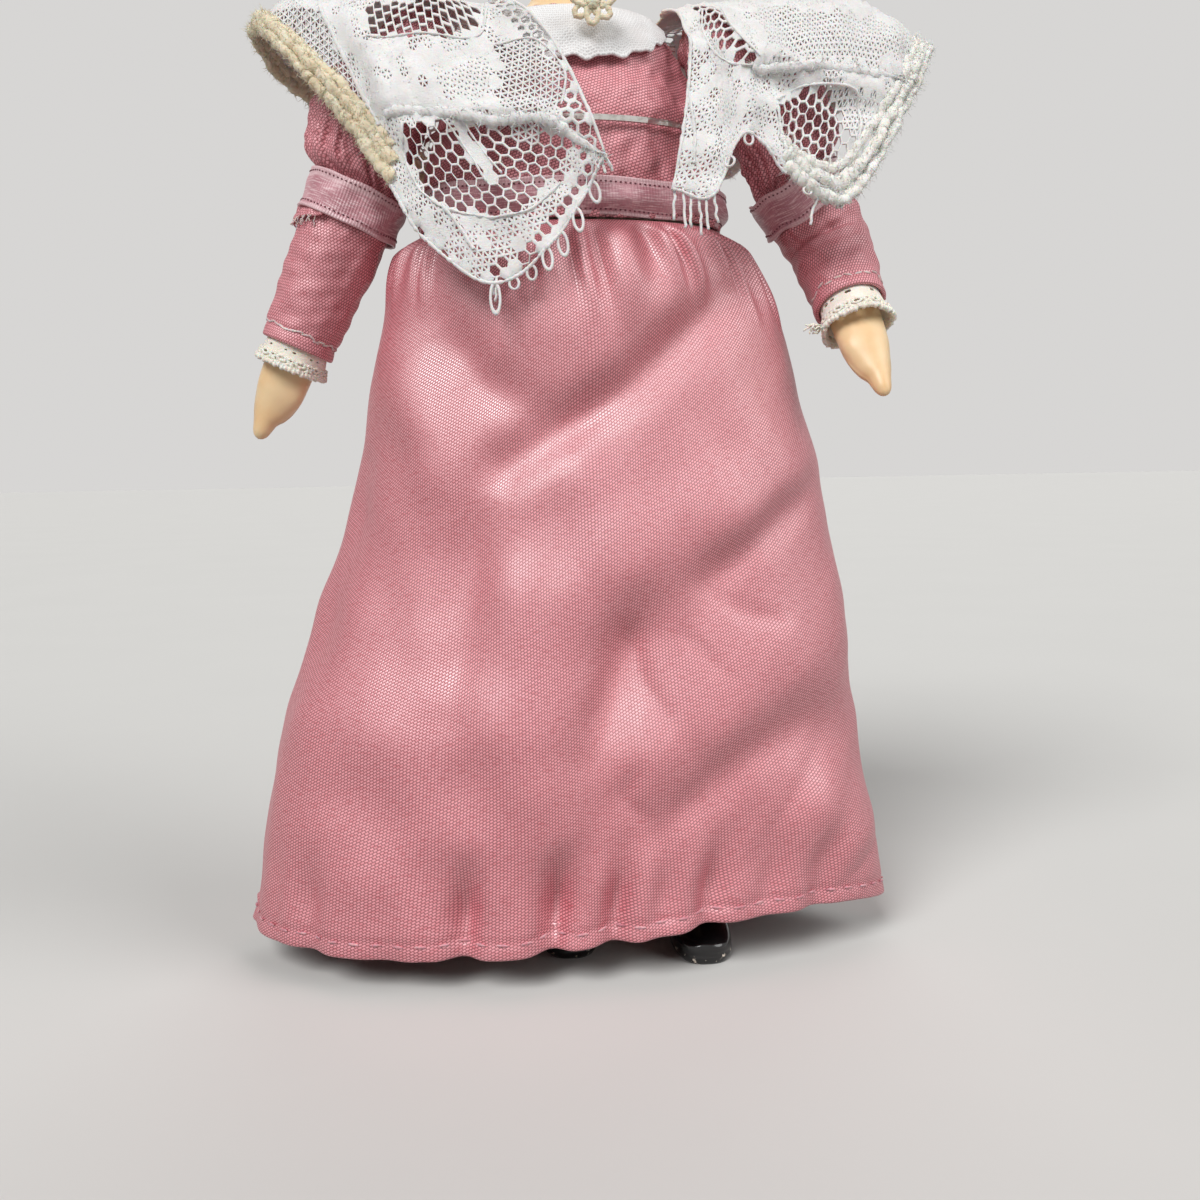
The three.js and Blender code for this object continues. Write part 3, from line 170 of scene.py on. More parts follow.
# Collar halves: the angle at the neck, how far the front bows out sideways and forwards, and the edge from
# the front over the arm to the middle back, by angle round the doll, distance out and drop below the neckline
COLLARS = {
    "right": {
        "side": -1,
        "edging": "cream",
        "neck": 57,
        "bow": (0, 1.5),
        # Angles between which the edge is fine, then spun, and the height below which most lace is open
        "fine": (-9, 55),
        "spun": (55, 179),
        "lobe_top": 94.0,
        "edge": (
            (-9, 16.6, 18.9), (8, 16.8, 26.7), (29, 19.1, 31.6), (47, 22.8, 26.4), (55, 24.0, 21.1),
            (68, 26.8, 13.5), (87, 34.9, 1.6), (105, 33.0, 6.0), (135, 22.0, 16.0), (179, 16.8, 18.0),
        ),
        # Kinds of lace: ground, open share of a cell and outline as x and z; the first that fits is used
        "grounds": (
            ("toile", 0, ((-13.9, 94.4), (-12.1, 94.4), (-7.9, 88.4), (-9.6, 87.7))),
            ("fine", 0.66, ((-7.6, 94.5), (-4.0, 94.5), (-4.2, 91.7), (-7.4, 92.6))),
            ("net", 0.88, (
                (-18.0, 94.1), (-10.2, 93.8), (-3.8, 93.7), (-0.5, 91.2), (-2.4, 87.9),
                (-5.4, 85.1), (-8.6, 84.6), (-13.5, 85.1), (-16.5, 87.3), (-18.1, 91.3),
            )),
            ("brick", 0.84, ((-22.1, 108.6), (-10.0, 108.8), (-10.3, 104.4), (-22.1, 104.0))),
            ("fine", 0.45, ((-14.2, 100.4), (-9.4, 100.8), (-9.6, 96.3), (-14.3, 96.3))),
            ("net", 0.6, ((-11.6, 99.6), (-10.2, 100.4), (-6.2, 103.6), (-7.4, 102.4))),
            ("fine", 0.66, (
                (-8.0, 102.7), (-4.5, 103.1), (-1.5, 99.1), (-2.0, 94.9), (-5.8, 95.0), (-8.5, 96.6),
            )),
            ("fine", 0.76, (
                (-34.0, 108.6), (-27.4, 108.4), (-24.4, 101.6), (-21.0, 93.6), (-25.8, 97.0), (-31, 102),
            )),
        ),
        # Raised outline threads: radius, whether closed, then places as x and z
        "gimps": (
            (
                0.144, False,
                (-18.2, 94.0), (-18.2, 91.0), (-16.6, 87.2), (-13.5, 84.9),
                (-8.6, 84.3), (-5.2, 84.9), (-1.9, 87.9),
            ),
            (0.108, False, (-13.9, 94.2), (-11.8, 91.4), (-9.6, 87.7)),
            (0.108, False, (-12.1, 94.2), (-10.2, 91.4), (-7.9, 88.4)),
            (0.1224, False, (-8.3, 102.9), (-4.5, 103.3), (-1.3, 99.1), (-1.9, 95.2)),
            (0.1224, False, (-22.2, 103.8), (-16, 104.1), (-10.2, 104.2), (-9.2, 108.0)),
            (0.216, False, (-14.5, 85.6), (-12.6, 83.1), (-11.1, 80.6)),
            (0.2448, False, (-27.3, 108.3), (-24.3, 101.6), (-20.6, 93.8)),
        ),
        "roll": ((-20.0, 94.9), (-16.0, 95.3), (-10.3, 94.3), (-4.0, 94.2), (-0.2, 91.9), (2.0, 90.2)),
        # Edge loops by angle and length, then frayed threads by angle, length and sideways lean
        "picots": (
            (-4, 2.2), (1.7, 2.5), (7.3, 2.5), (12.4, 2.3), (17.6, 1.5), (23.0, 1.2), (28.6, 3.2),
        ),
        "frays": ((-8.4, 1.6, 0.9), (-7.6, 1.2, 0.5), (28.0, 1.9, -0.1), (29.4, 1.4, 0.1)),
        "folds": (
            ((-23.5, 106), (-20.5, 99), (-17.5, 92.5), 1.7, 1.3),
            ((-17.5, 92.5), (-9, 95), (2.5, 93.5), 1.3, 0.9),
        ),
    },
    "left": {
        "side": 1,
        "edging": "white_edging",
        "neck": 76,
        "bow": (5, 0),
        "fine": (31, 58),
        "spun": (58, 179),
        "lobe_top": 99.0,
        "edge": (
            (31, 18.7, 22.2), (42, 21.2, 22.5), (50, 23.0, 16.0), (58, 26.0, 20.0), (68, 31.4, 23.0),
            (79, 37.9, 11.4), (88, 41.4, 3.5), (105, 37.0, 6.0), (135, 23.0, 16.0), (179, 16.8, 18.0),
        ),
        "grounds": (
            ("fine", 0.6, ((27.3, 98.6), (33.7, 99.0), (30.9, 94.2))),
            ("net", 0.87, (
                (21.7, 96.9), (24.8, 98.9), (30.9, 98.5), (30.5, 92.0), (27.1, 88.1), (23.0, 90.4),
            )),
            ("net", 0.8, ((13.8, 109.2), (16.4, 109.2), (17.4, 104.3), (14.8, 104.2))),
            ("net", 0.76, ((15.4, 104.0), (18.0, 104.0), (19.6, 100.8), (17.0, 100.8))),
            ("fine", 0.5, ((11.2, 98.4), (13.4, 98.4), (14.0, 93.0), (11.8, 93.0))),
            ("fine", 0.55, ((20.5, 109.4), (38.7, 107.4), (39.2, 103.4), (25.2, 101.9), (20.5, 103.4))),
        ),
        "gimps": (
            (0.144, True, (21.5, 97.0), (24.8, 99.0), (31.0, 98.6), (30.6, 92.0), (27.1, 87.9), (22.8, 90.3)),
            (0.1224, False, (14.6, 108.4), (14.4, 104.2), (16.9, 100.6), (19.7, 100.6)),
            (0.108, False, (16.6, 108.6), (17.6, 104.4), (19.8, 101.2)),
            (0.144, False, (12.6, 104.5), (11.9, 99.0), (12.3, 93.4), (12.0, 89.4)),
        ),
        "roll": ((18.6, 100.2), (22.5, 100.6), (26.7, 101.2), (31.5, 101.0), (36.1, 100.7)),
        "picots": ((46.4, 1.2), (50.6, 1.3), (61.0, 0.9)),
        "frays": (
            (31.4, 2.6, -0.1), (33.4, 3.1, 0.05), (35.4, 2.7, 0.0), (37.4, 3.2, 0.12),
            (39.4, 2.8, 0.05), (41.2, 2.4, 0.2), (63.5, 2.6, -0.5),
        ),
        "folds": (
            ((18, 101.5), (26, 100), (34, 98.5), 1.5, 1.2),
            ((20, 99.3), (27, 98), (33, 96.5), 1.2, -0.7),
        ),
    },
}
COLLAR_NECK = NECKLINE + 0.9
COLLAR_TOP = SHOULDER + 10.4
# Flat cut of a half: radius of its neck edge, ribs and steps down each rib
FLAT_NECK = 9.0
FLAT_RIBS = 180
FLAT_STEPS = 60

# Arms: side, lift from hanging, turn in and bend of the elbow in degrees, and the lower sleeve's length
ARMS = {"right": (-1, 24, 0, 0, 10.6), "left": (1, 31, 22, 34, 9.2)}
PUFF_LENGTH = 17.5
BAND_WIDTH = 4.0
ELBOW_DROP = 4.5
CUFF_WIDTH = 3.8
WRIST_HEM = 1.3
FOREARM_LENGTH = 22.2

# Legs: side, lean towards the floor and step back of the foot
LEGS = {"right": (-1, 3.0, 4.3), "left": (1, 4.8, 0.6)}
LEG_SHIFT = 2.0
LEG_SPREAD = 7.0


def scene_colour(red, green, blue):
    """Scene colour of a paint given as the 0 to 255 values that a screen shows."""
    shown = np.array([red, green, blue]) / 255
    linear = np.where(shown < 0.04045, shown / 12.92, ((shown + 0.055) / 1.055) ** 2.4)
    return tuple(float(c) for c in linear)


def mix(a, b, share):
    """A value that is a share of the way from one to another."""
    return a + (b - a) * share


def unit(vectors):
    """Vectors of an array, each scaled to a length of 1."""
    return vectors / np.maximum(np.linalg.norm(vectors, axis=-1), 1e-9)[..., None]


def bell(value, middle, width):
    """1 at the middle, falling off on both sides over a width."""
    return np.exp(-(((value - middle) / width) ** 2))


def squared(value, power):
    """A power of the size of a value, with the value's sign."""
    return np.sign(value) * np.abs(value) ** power


def round_angles(columns):
    """Angles of the columns of a closed sheet, from the middle back round."""
    return math.pi / 2 + np.linspace(0, TURN, columns, endpoint=False)


def ovals(a, rx, ry, z, x=0.0, y=0.0):
    """Points on ovals by angle, half width, half depth and height, round a middle."""
    return np.stack(np.broadcast_arrays(x + rx * np.cos(a), y + ry * np.sin(a), z), -1)


def smooth(value, low, high):
    """0 below low, 1 above high and an eased step between them."""
    t = np.clip((np.asarray(value, float) - low) / (high - low), 0, 1)
    return t * t * (3 - 2 * t)


def along(stations, at):
    """Smooth values between stations, rows of a place and its values, at each of an array of places."""
    rows = np.array(stations, float)
    rows = rows[np.argsort(rows[:, 0])]
    place, value = rows[:, 0], rows[:, 1:]
    before = np.maximum(np.arange(len(place)) - 1, 0)
    after = np.minimum(np.arange(len(place)) + 1, len(place) - 1)
    slope = (value[after] - value[before]) / (place[after] - place[before])[:, None]
    at = np.clip(np.asarray(at, float), place[0], place[-1])
    i = np.clip(np.searchsorted(place, at, side="right") - 1, 0, len(place) - 2)
    span = (place[i + 1] - place[i])[..., None]
    t = (at - place[i])[..., None] / span
    low, high = value[i], value[i + 1]
    found = (
        (2 * t**3 - 3 * t**2 + 1) * low
        + (t**3 - 2 * t**2 + t) * span * slope[i]
        + (3 * t**2 - 2 * t**3) * high
        + (t**3 - t**2) * span * slope[i + 1]
    )
    return np.moveaxis(found, -1, 0)


def ruffle(points, size, seed):
    """Smooth random heights, about -1 to 1, whose swells are about size across."""
    chance = np.random.default_rng(seed)
    points = np.asarray(points, float)
    waves = chance.normal(size=(14, points.shape[-1])) * TURN / (1.6 * size)
    shift = chance.uniform(0, TURN, 14)
    return np.cos(points @ waves.T + shift).sum(-1) / math.sqrt(14)


def fold_line(x, z, start, middle, end, width):
    """How near points are to a bent line, 1 on it, fading with the width and towards both ends."""
    best = np.zeros_like(x)
    corners = [np.array(p, float) for p in (start, middle, end)]
    lengths = [np.linalg.norm(b - a) for a, b in zip(corners, corners[1:])]
    for i, (a, b) in enumerate(zip(corners, corners[1:])):
        run = b - a
        t = np.clip(((x - a[0]) * run[0] + (z - a[1]) * run[1]) / (run @ run), 0, 1)
        off = np.hypot(x - a[0] - t * run[0], z - a[1] - t * run[1])
        share = (sum(lengths[:i]) + t * lengths[i]) / sum(lengths)
        fade = smooth(share, -0.35, 0.3) * (1 - smooth(share, 0.7, 1.35))
        best = np.maximum(best, bell(off, 0, width) * fade)
    return best


class Cloth:
    """Collects points and faces of one piece, with flat cloth sizes in millimetres as its weave map."""

    def __init__(self):
        self.points, self.faces, self.weave, self.count = [], [], [], 0

    def grid(self, points, weave=None, closed=False):
        """A sheet of rows and columns of points; a closed one joins its last column to its first."""
        points = np.asarray(points, float)
        rows, columns = points.shape[:2]
        across = columns if closed else columns - 1
        r, c = np.meshgrid(np.arange(rows - 1), np.arange(across), indexing="ij")
        n = (c + 1) % columns
        corner = [r * columns + c, r * columns + n, (r + 1) * columns + n, (r + 1) * columns + c]
        faces = np.stack(corner, -1).reshape(-1, 4)
        if weave is None:
            weave = flat_lengths(points, closed)
        map_corner = [weave[r, c], weave[r, c + 1], weave[r + 1, c + 1], weave[r + 1, c]]
        maps = np.stack(map_corner, -2).reshape(-1, 4, 2)
        self.points.append(points.reshape(-1, 3))
        self.faces += (faces + self.count).tolist()
        self.weave += maps.tolist()
        self.last = self.count, rows, columns, weave
        self.count += rows * columns
        return self

    def cap(self, tip, first=False):
        """Closes the last or first row of the sheet just made with a fan to a tip."""
        start, rows, columns, weave = self.last
        row = 0 if first else rows - 1
        self.points.append(np.array([tip], float))
        for c in range(columns):
            n = (c + 1) % columns
            pair = [start + row * columns + c, start + row * columns + n]
            flat = [weave[row, c].tolist(), weave[row, c + 1].tolist()]
            middle = weave[row, c].tolist()
            if first:
                pair, flat = pair[::-1], flat[::-1]
            self.faces.append([*pair, self.count])
            self.weave.append([*flat, middle])
        self.count += 1
        return self

    def openwork(self, points, cells, holes):
        """Net of cells: each is a closed face, or a frame round a hole that takes up a share of it."""
        used = sorted({i for cell in cells for i in cell})
        place = {old: new for new, old in enumerate(used)}
        net = [points[i] for i in used]
        faces = []
        for cell, share in zip(cells, holes):
            corners = [place[i] for i in cell]
            if not share:
                faces.append(corners)
                continue
            ring = points[cell]
            middle = ring.mean(0)
            inner = range(len(net), len(net) + len(cell))
            net.extend(middle + share * (ring - middle))
            for i, (a, b) in enumerate(zip(corners, inner)):
                n = (i + 1) % len(corners)
                faces.append([a, corners[n], inner[n], b])
        net = np.asarray(net, float)
        flat = net[:, [0, 2]].tolist()
        self.points.append(net)
        self.faces += [[i + self.count for i in face] for face in faces]
        self.weave += [[flat[i] for i in face] for face in faces]
        self.count += len(net)

    def tube(self, path, radius, sides, flat=1.0):
        """A closed round cord along a path; its radius may vary, and flat squeezes it front to back."""
        path = np.asarray(path, float)
        radius = np.broadcast_to(np.asarray(radius, float), (len(path),))
        ahead = unit(np.gradient(path, axis=0))
        side = np.zeros_like(path)
        guide = np.array([0.0, 1, 0])
        if abs(ahead[0] @ guide) > 0.95:
            guide = np.array([1.0, 0, 0.2])
        for i, direction in enumerate(ahead):
            guide = unit(guide - direction * (guide @ direction))
            side[i] = guide
        other = np.cross(ahead, side)
        turn = np.linspace(0, TURN, sides, endpoint=False)
        rings = (
            path[:, None]
            + radius[:, None, None] * flat * side[:, None] * np.cos(turn)[None, :, None]
            + radius[:, None, None] * other[:, None] * np.sin(turn)[None, :, None]
        )
        start = self.count
        self.grid(rings, closed=True)
        last = start + (len(path) - 1) * sides
        ends = [list(range(start, start + sides))[::-1], list(range(last, last + sides))]
        self.faces += ends
        self.weave += [[[0.0, 0.0]] * sides] * 2

    def piece(self, name, material, wall=0.0, subdivide=0):
        """The finished object, with its wall set inwards from the surface."""
        mesh = bpy.data.meshes.new(name)
        mesh.from_pydata(((np.concatenate(self.points) + AXIS) * MM).tolist(), [], self.faces)
        layer = mesh.uv_layers.new(name="weave")
        flat = [value for face in self.weave for corner in face for value in corner]
        layer.data.foreach_set("uv", flat)
        mesh.polygons.foreach_set("use_smooth", [True] * len(mesh.polygons))
        mesh.materials.append(material)
        mesh.update()
        piece = bpy.data.objects.new(name, mesh)
        bpy.context.scene.collection.objects.link(piece)
        if subdivide:
            rounding = piece.modifiers.new("Rounding", "SUBSURF")
            rounding.levels = rounding.render_levels = subdivide
        if wall:
            thickness = piece.modifiers.new("Wall", "SOLIDIFY")
            thickness.thickness = wall * MM
            thickness.offset = -1
            thickness.use_even_offset = False
        return piece


def flat_lengths(points, closed):
    """Flat place of each point of a sheet, from its own lengths along rows and columns."""
    ring = np.concatenate([points, points[:, :1]], 1) if closed else points
    across = np.linalg.norm(np.diff(ring, axis=1), axis=2).mean(0)
    up = np.linalg.norm(np.diff(points, axis=0), axis=2).mean(1)
    u = np.concatenate([[0], np.cumsum(across)])
    v = np.concatenate([[0], np.cumsum(up)])
    return np.stack(np.meshgrid(u, v), -1)


def outward(points):
    """Unit normals of a closed sheet, facing out when rows rise and columns turn to the left."""
    across = np.roll(points, -1, 1) - np.roll(points, 1, 1)
    return unit(np.cross(across, np.gradient(points, axis=0)))


def frame_point(x, y, z):
    """A place on the doll as a point of the frame, in metres."""
    return tuple((np.array([x, y, z]) + AXIS) * MM)


def settle(piece, body, stands_for=()):
    """Sets a finished piece on its body and hides the CAD solids that it stands for."""
    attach(piece, body)
    dress(stands_for)


def dress(stands_for=()):
    """Hides the CAD solids that a piece stands for."""
    if stands_for:
        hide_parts(*stands_for)


class Nodes:
    """A node tree, with short ways to add nodes and to set or join their inputs."""

    def __init__(self, tree):
        self.tree = tree

    def put(self, socket, value):
        """Sets a socket to a value, or joins it to a node or to one of a node's outputs."""
        if isinstance(value, bpy.types.Node):
            value = value.outputs[0]
        if isinstance(value, bpy.types.NodeSocket):
            self.tree.links.new(value, socket)
        elif socket.type == "RGBA":
            socket.default_value = (*value, 1)
        else:
            socket.default_value = value

    def add(self, kind, inputs=None, **settings):
        """A new node with its settings, then its inputs."""
        node = self.tree.nodes.new(kind)
        for key, value in settings.items():
            setattr(node, key, value)
        for label, value in (inputs or {}).items():
            self.put(node.inputs[label], value)
        return node

    def math(self, operation, first, second=0.0, third=0.0):
        return self.add("ShaderNodeMath", {0: first, 1: second, 2: third}, operation=operation)

    def times(self, first, second):
        return self.math("MULTIPLY", first, second)

    def plus(self, first, second):
        return self.math("ADD", first, second)

    def minus(self, first, second):
        return self.math("SUBTRACT", first, second)

    def scaled(self, value, factor, start):
        """A value times a factor, plus a start."""
        return self.math("MULTIPLY_ADD", value, factor, start)


class Finish(Nodes):
    """One material: a surface of a colour and roughness, with the patterns that vary them."""

    def __init__(self, name, colour, roughness, **settings):
        self.material = bpy.data.materials.new(name)
        self.material.use_nodes = True
        super().__init__(self.material.node_tree)
        self.tree.nodes.clear()
        inputs = {socket.replace("_", " "): value for socket, value in settings.items()}
        inputs |= {"Base Color": colour, "Roughness": roughness}
        self.surface = self.add("ShaderNodeBsdfPrincipled", inputs)
        self.add("ShaderNodeOutputMaterial", {"Surface": self.surface})

    def ease(self, value, low, high):
        """0 below low, 1 above high, eased between them."""
        inputs = {"Value": value, "From Min": low, "From Max": high}
        return self.add("ShaderNodeMapRange", inputs, interpolation_type="SMOOTHSTEP")

    def blend(self, share, first, second):
        """The first colour, turned into the second by a share."""
        node = self.add("ShaderNodeMix", {0: share}, data_type="RGBA", clamp_factor=True)
        colours = [socket for socket in node.inputs if socket.type == "RGBA"]
        self.put(colours[0], first)
        self.put(colours[1], second)
        return next(socket for socket in node.outputs if socket.type == "RGBA")

    def object_mm(self, scale=(1, 1, 1)):
        """Place on the object in millimetres, times a scale for each axis."""
        place = self.add("ShaderNodeTexCoord").outputs["Object"]
        return self.add("ShaderNodeMapping", {"Vector": place, "Scale": [s / MM for s in scale]})

    def weave_mm(self, turn=0.0, scale=(1, 1, 1)):
        """Place on the flat cloth in millimetres, turned by an angle in degrees."""
        place = self.add("ShaderNodeUVMap", uv_map="weave")
        inputs = {"Vector": place, "Rotation": (0, 0, math.radians(turn)), "Scale": scale}
        return self.add("ShaderNodeMapping", inputs)

    def parts(self, vector):
        return self.add("ShaderNodeSeparateXYZ", {0: vector}).outputs

    def noise(self, vector, scale, detail=3.0, rough=0.55):
        inputs = {"Vector": vector, "Scale": scale, "Detail": detail, "Roughness": rough}
        return self.add("ShaderNodeTexNoise", inputs)

    def bump(self, height, strength, depth):
        """Raises the surface by a height, with depth in millimetres."""
        inputs = {"Strength": strength, "Distance": depth * MM, "Height": height}
        self.put(self.surface.inputs["Normal"], self.add("ShaderNodeBump", inputs))

    def colour(self, value):
        self.put(self.surface.inputs["Base Color"], value)

    def roughness(self, value):
        self.put(self.surface.inputs["Roughness"], value)


def satin_finish(name, turn, dull):
    """Satin with short floats in stepped rows over a deeper ground; the floats' lighter colour is partly
    painted sheen, with painted glints along the threads.
    """
    gown = bpy.context.scene.doll_gown
    tint = (1, 0.97, 0.97)
    cloth = Finish(name, gown.satin, 0.42, IOR=1.75, Specular_IOR_Level=1.0, Specular_Tint=tint)
    sizes = {
        "Vector": cloth.weave_mm(turn),
        "Scale": 1,
        "Brick Width": gown.float_length,
        "Row Height": gown.float_pitch,
        "Mortar Size": 0.36 * gown.float_pitch,
        "Mortar Smooth": 1.0,
    }
    floats = cloth.add("ShaderNodeTexBrick", sizes, offset=0.5, offset_frequency=2)
    ground = floats.outputs["Fac"]
    # Painted glints: streaks along the threads lighten the floats towards the float colour
    thread = cloth.noise(cloth.weave_mm(turn, (0.9, 3, 1)), 1.0, 2)
    bright = cloth.blend(cloth.ease(thread, 0.1, 0.6), gown.satin, gown.satin_float_sheen)
    cloth.colour(cloth.blend(ground, bright, gown.satin_shade))
    cloth.bump(cloth.minus(1.0, ground), 0.5, 0.05)
    cloth.roughness(cloth.scaled(ground, 0.26, dull))
    return cloth.material


def ribbon_finish():
    """Narrow woven ribbon: fine cross ribs, painted glints along uneven threads and dull worn patches."""
    gown = bpy.context.scene.doll_gown
    cloth = Finish("ribbon", gown.ribbon, 0.42, Specular_IOR_Level=0.9)
    flat = cloth.parts(cloth.weave_mm())
    rib = cloth.math("SINE", cloth.times(flat[0], TURN / 0.34))
    thread = cloth.noise(cloth.weave_mm(7, (0.6, 6, 1)), 1.0, 3)
    # Painted glints: lighter streaks along the ribbon in the glint colour, which also lightens both selvedges
    glint = cloth.ease(thread, 0.48, 0.62)
    dull = cloth.ease(cloth.noise(cloth.object_mm(), 0.3, 3), 0.35, 0.7)
    tone = cloth.blend(dull, gown.ribbon_shade, gown.ribbon)
    tone = cloth.blend(cloth.times(glint, 0.75), tone, gown.ribbon_glint)
    half = 0.5 * BAND_WIDTH
    off_middle = cloth.math("ABSOLUTE", cloth.minus(flat[1], half))
    selvedge = cloth.ease(off_middle, half - 0.5, half - 0.25)
    tone = cloth.blend(cloth.times(selvedge, 0.6), tone, gown.ribbon_glint)
    cloth.colour(cloth.blend(cloth.scaled(rib, 0.12, 0.12), tone, gown.ribbon_shade))
    cloth.bump(cloth.plus(cloth.times(rib, 0.3), thread), 0.6, 0.09)
    return cloth.material


def plain_weave(name, colour, shade, pitch):
    """Plain woven cotton: threads over and under each other, with painted shade in the gap at each crossing.
    """
    colour, shade = scene_colour(*colour), scene_colour(*shade)
    cloth = Finish(name, colour, 0.9, Sheen_Weight=0.15)
    flat = cloth.parts(cloth.weave_mm())
    waver = cloth.noise(cloth.object_mm(), 0.9, 2)
    across, upward = (
        cloth.math("SINE", cloth.scaled(flat[i], math.pi / pitch, cloth.times(waver, sway)))
        for i, sway in ((0, 1.6), (1, -1.6))
    )
    warp = cloth.math("ABSOLUTE", across)
    weft = cloth.math("ABSOLUTE", upward)
    # Painted shade in the open gap where the threads cross
    gap_shade = cloth.times(cloth.ease(warp, 0.62, 0.2), cloth.ease(weft, 0.62, 0.2))
    over = cloth.times(across, upward)
    thread = cloth.math("MAXIMUM", cloth.times(warp, 0.9), weft)
    dusk = cloth.ease(cloth.noise(cloth.object_mm(), 0.22, 3), 0.35, 0.75)
    tone = cloth.blend(cloth.times(dusk, 0.3), colour, shade)
    cloth.colour(cloth.blend(cloth.times(gap_shade, 0.8), tone, shade))
    cloth.bump(cloth.scaled(over, 0.4, thread), 0.7, 0.08)
    return cloth.material


def thread_finish(name, colour, shade, fuzz, size):
    """Soft cotton thread: streaks of fibre, a felted nap and a faint dusting of shade in the hollows."""
    colour, shade = scene_colour(*colour), scene_colour(*shade)
    soft = {"Sheen_Weight": 0.3, "Sheen_Roughness": 0.5, "Subsurface_Weight": 0.25}
    cloth = Finish(name, colour, 0.92, Subsurface_Scale=0.3 * MM, **soft)
    fibre = cloth.noise(cloth.object_mm((1, 1, 2.4)), size, 5, 0.7)
    nap = cloth.noise(cloth.object_mm(), 0.55, 3)
    tone = cloth.blend(cloth.ease(nap, 0.3, 0.72), shade, colour)
    cloth.colour(cloth.blend(cloth.ease(fibre, 0.36, 0.52), shade, tone))
    cloth.bump(fibre, fuzz, 0.22)
    return cloth.material


def bisque(name, coat):
    """Tinted bisque: a warm body that light sinks into a little, with faint mottling; also its skin."""
    figure = bpy.context.scene.doll_figure
    glow = {"Subsurface_Weight": 0.2, "Subsurface_Radius": (1.0, 0.55, 0.3), "Subsurface_Scale": 0.7 * MM}
    clay = Finish(name, figure.bisque, 0.42, Coat_Weight=coat, Coat_Roughness=0.3, **glow)
    clay.bump(clay.noise(clay.object_mm(), 3.0, 3), 0.06, 0.05)
    mottle = clay.noise(clay.object_mm(), 0.22, 4)
    return clay, clay.blend(clay.ease(mottle, 0.35, 0.75), figure.bisque, figure.bisque_shade)


def hand_finish():
    """Plain bisque of the hands."""
    clay, skin = bisque("tinted_bisque", 0.08)
    clay.colour(skin)
    return clay.material


def leg_finish(name):
    """Bisque leg with a painted gloss black shoe, which has patches of the pale bisque colour low on its toe
    and sole.
    """
    figure = bpy.context.scene.doll_figure
    clay = Finish(f"{name}_leg_and_shoe", figure.stocking, 0.4, Coat_Weight=0.3, Coat_Roughness=0.12)
    place = clay.parts(clay.object_mm())
    back = clay.plus(place[1], 2.0 - float(AXIS[1]) - LEGS[name][2])
    top = clay.scaled(clay.math("ABSOLUTE", back), 0.16, 4.6)
    shoe = clay.ease(clay.minus(place[2], top), 0.06, -0.06)
    # Patches of the pale bisque colour in the black, low on the shoe
    patch_noise = clay.plus(clay.noise(clay.object_mm(), 1.3, 5, 0.65), clay.times(place[2], -0.035))
    pale_patches = clay.times(clay.ease(patch_noise, 0.6, 0.63), clay.ease(place[2], 2.6, 0.6))
    black = clay.blend(pale_patches, figure.shoe, figure.stocking)
    mottle = clay.noise(clay.object_mm(), 0.4, 3)
    plain = clay.blend(clay.ease(mottle, 0.3, 0.7), figure.stocking, figure.bisque_shade)
    clay.colour(clay.blend(shoe, plain, black))
    clay.roughness(clay.scaled(shoe, -0.24, 0.42))
    clay.bump(clay.noise(clay.object_mm(), 1.1, 3), 0.12, 0.12)
    return clay.material


def hair_finish():
    """Wig fibre: fine streaks from dark to lighter brown along the combed strands."""
    figure = bpy.context.scene.doll_figure
    wig = Finish("wig_fibre", figure.hair, 0.45, Sheen_Weight=0.15)
    streak = wig.noise(wig.weave_mm(0, (2.6, 0.12, 1)), 1.0, 4, 0.65)
    wig.colour(wig.blend(wig.ease(streak, 0.32, 0.7), figure.hair, figure.hair_light))
    wig.bump(streak, 0.7, 0.12)
    return wig.material


def steel_finish():
    """Drawn steel wire with fine lengthwise scratches and a few dull spots."""
    wire = Finish("steel_wire", (0.8, 0.78, 0.75), 0.16, Metallic=1.0)
    dull = wire.ease(wire.noise(wire.object_mm(), 1.8, 4), 0.4, 0.7)
    wire.colour(wire.blend(dull, (0.82, 0.8, 0.77), (0.6, 0.56, 0.53)))
    wire.roughness(wire.scaled(dull, 0.14, 0.12))
    wire.bump(wire.noise(wire.object_mm((0.4, 4, 4)), 2.0, 2), 0.2, 0.03)
    return wire.material


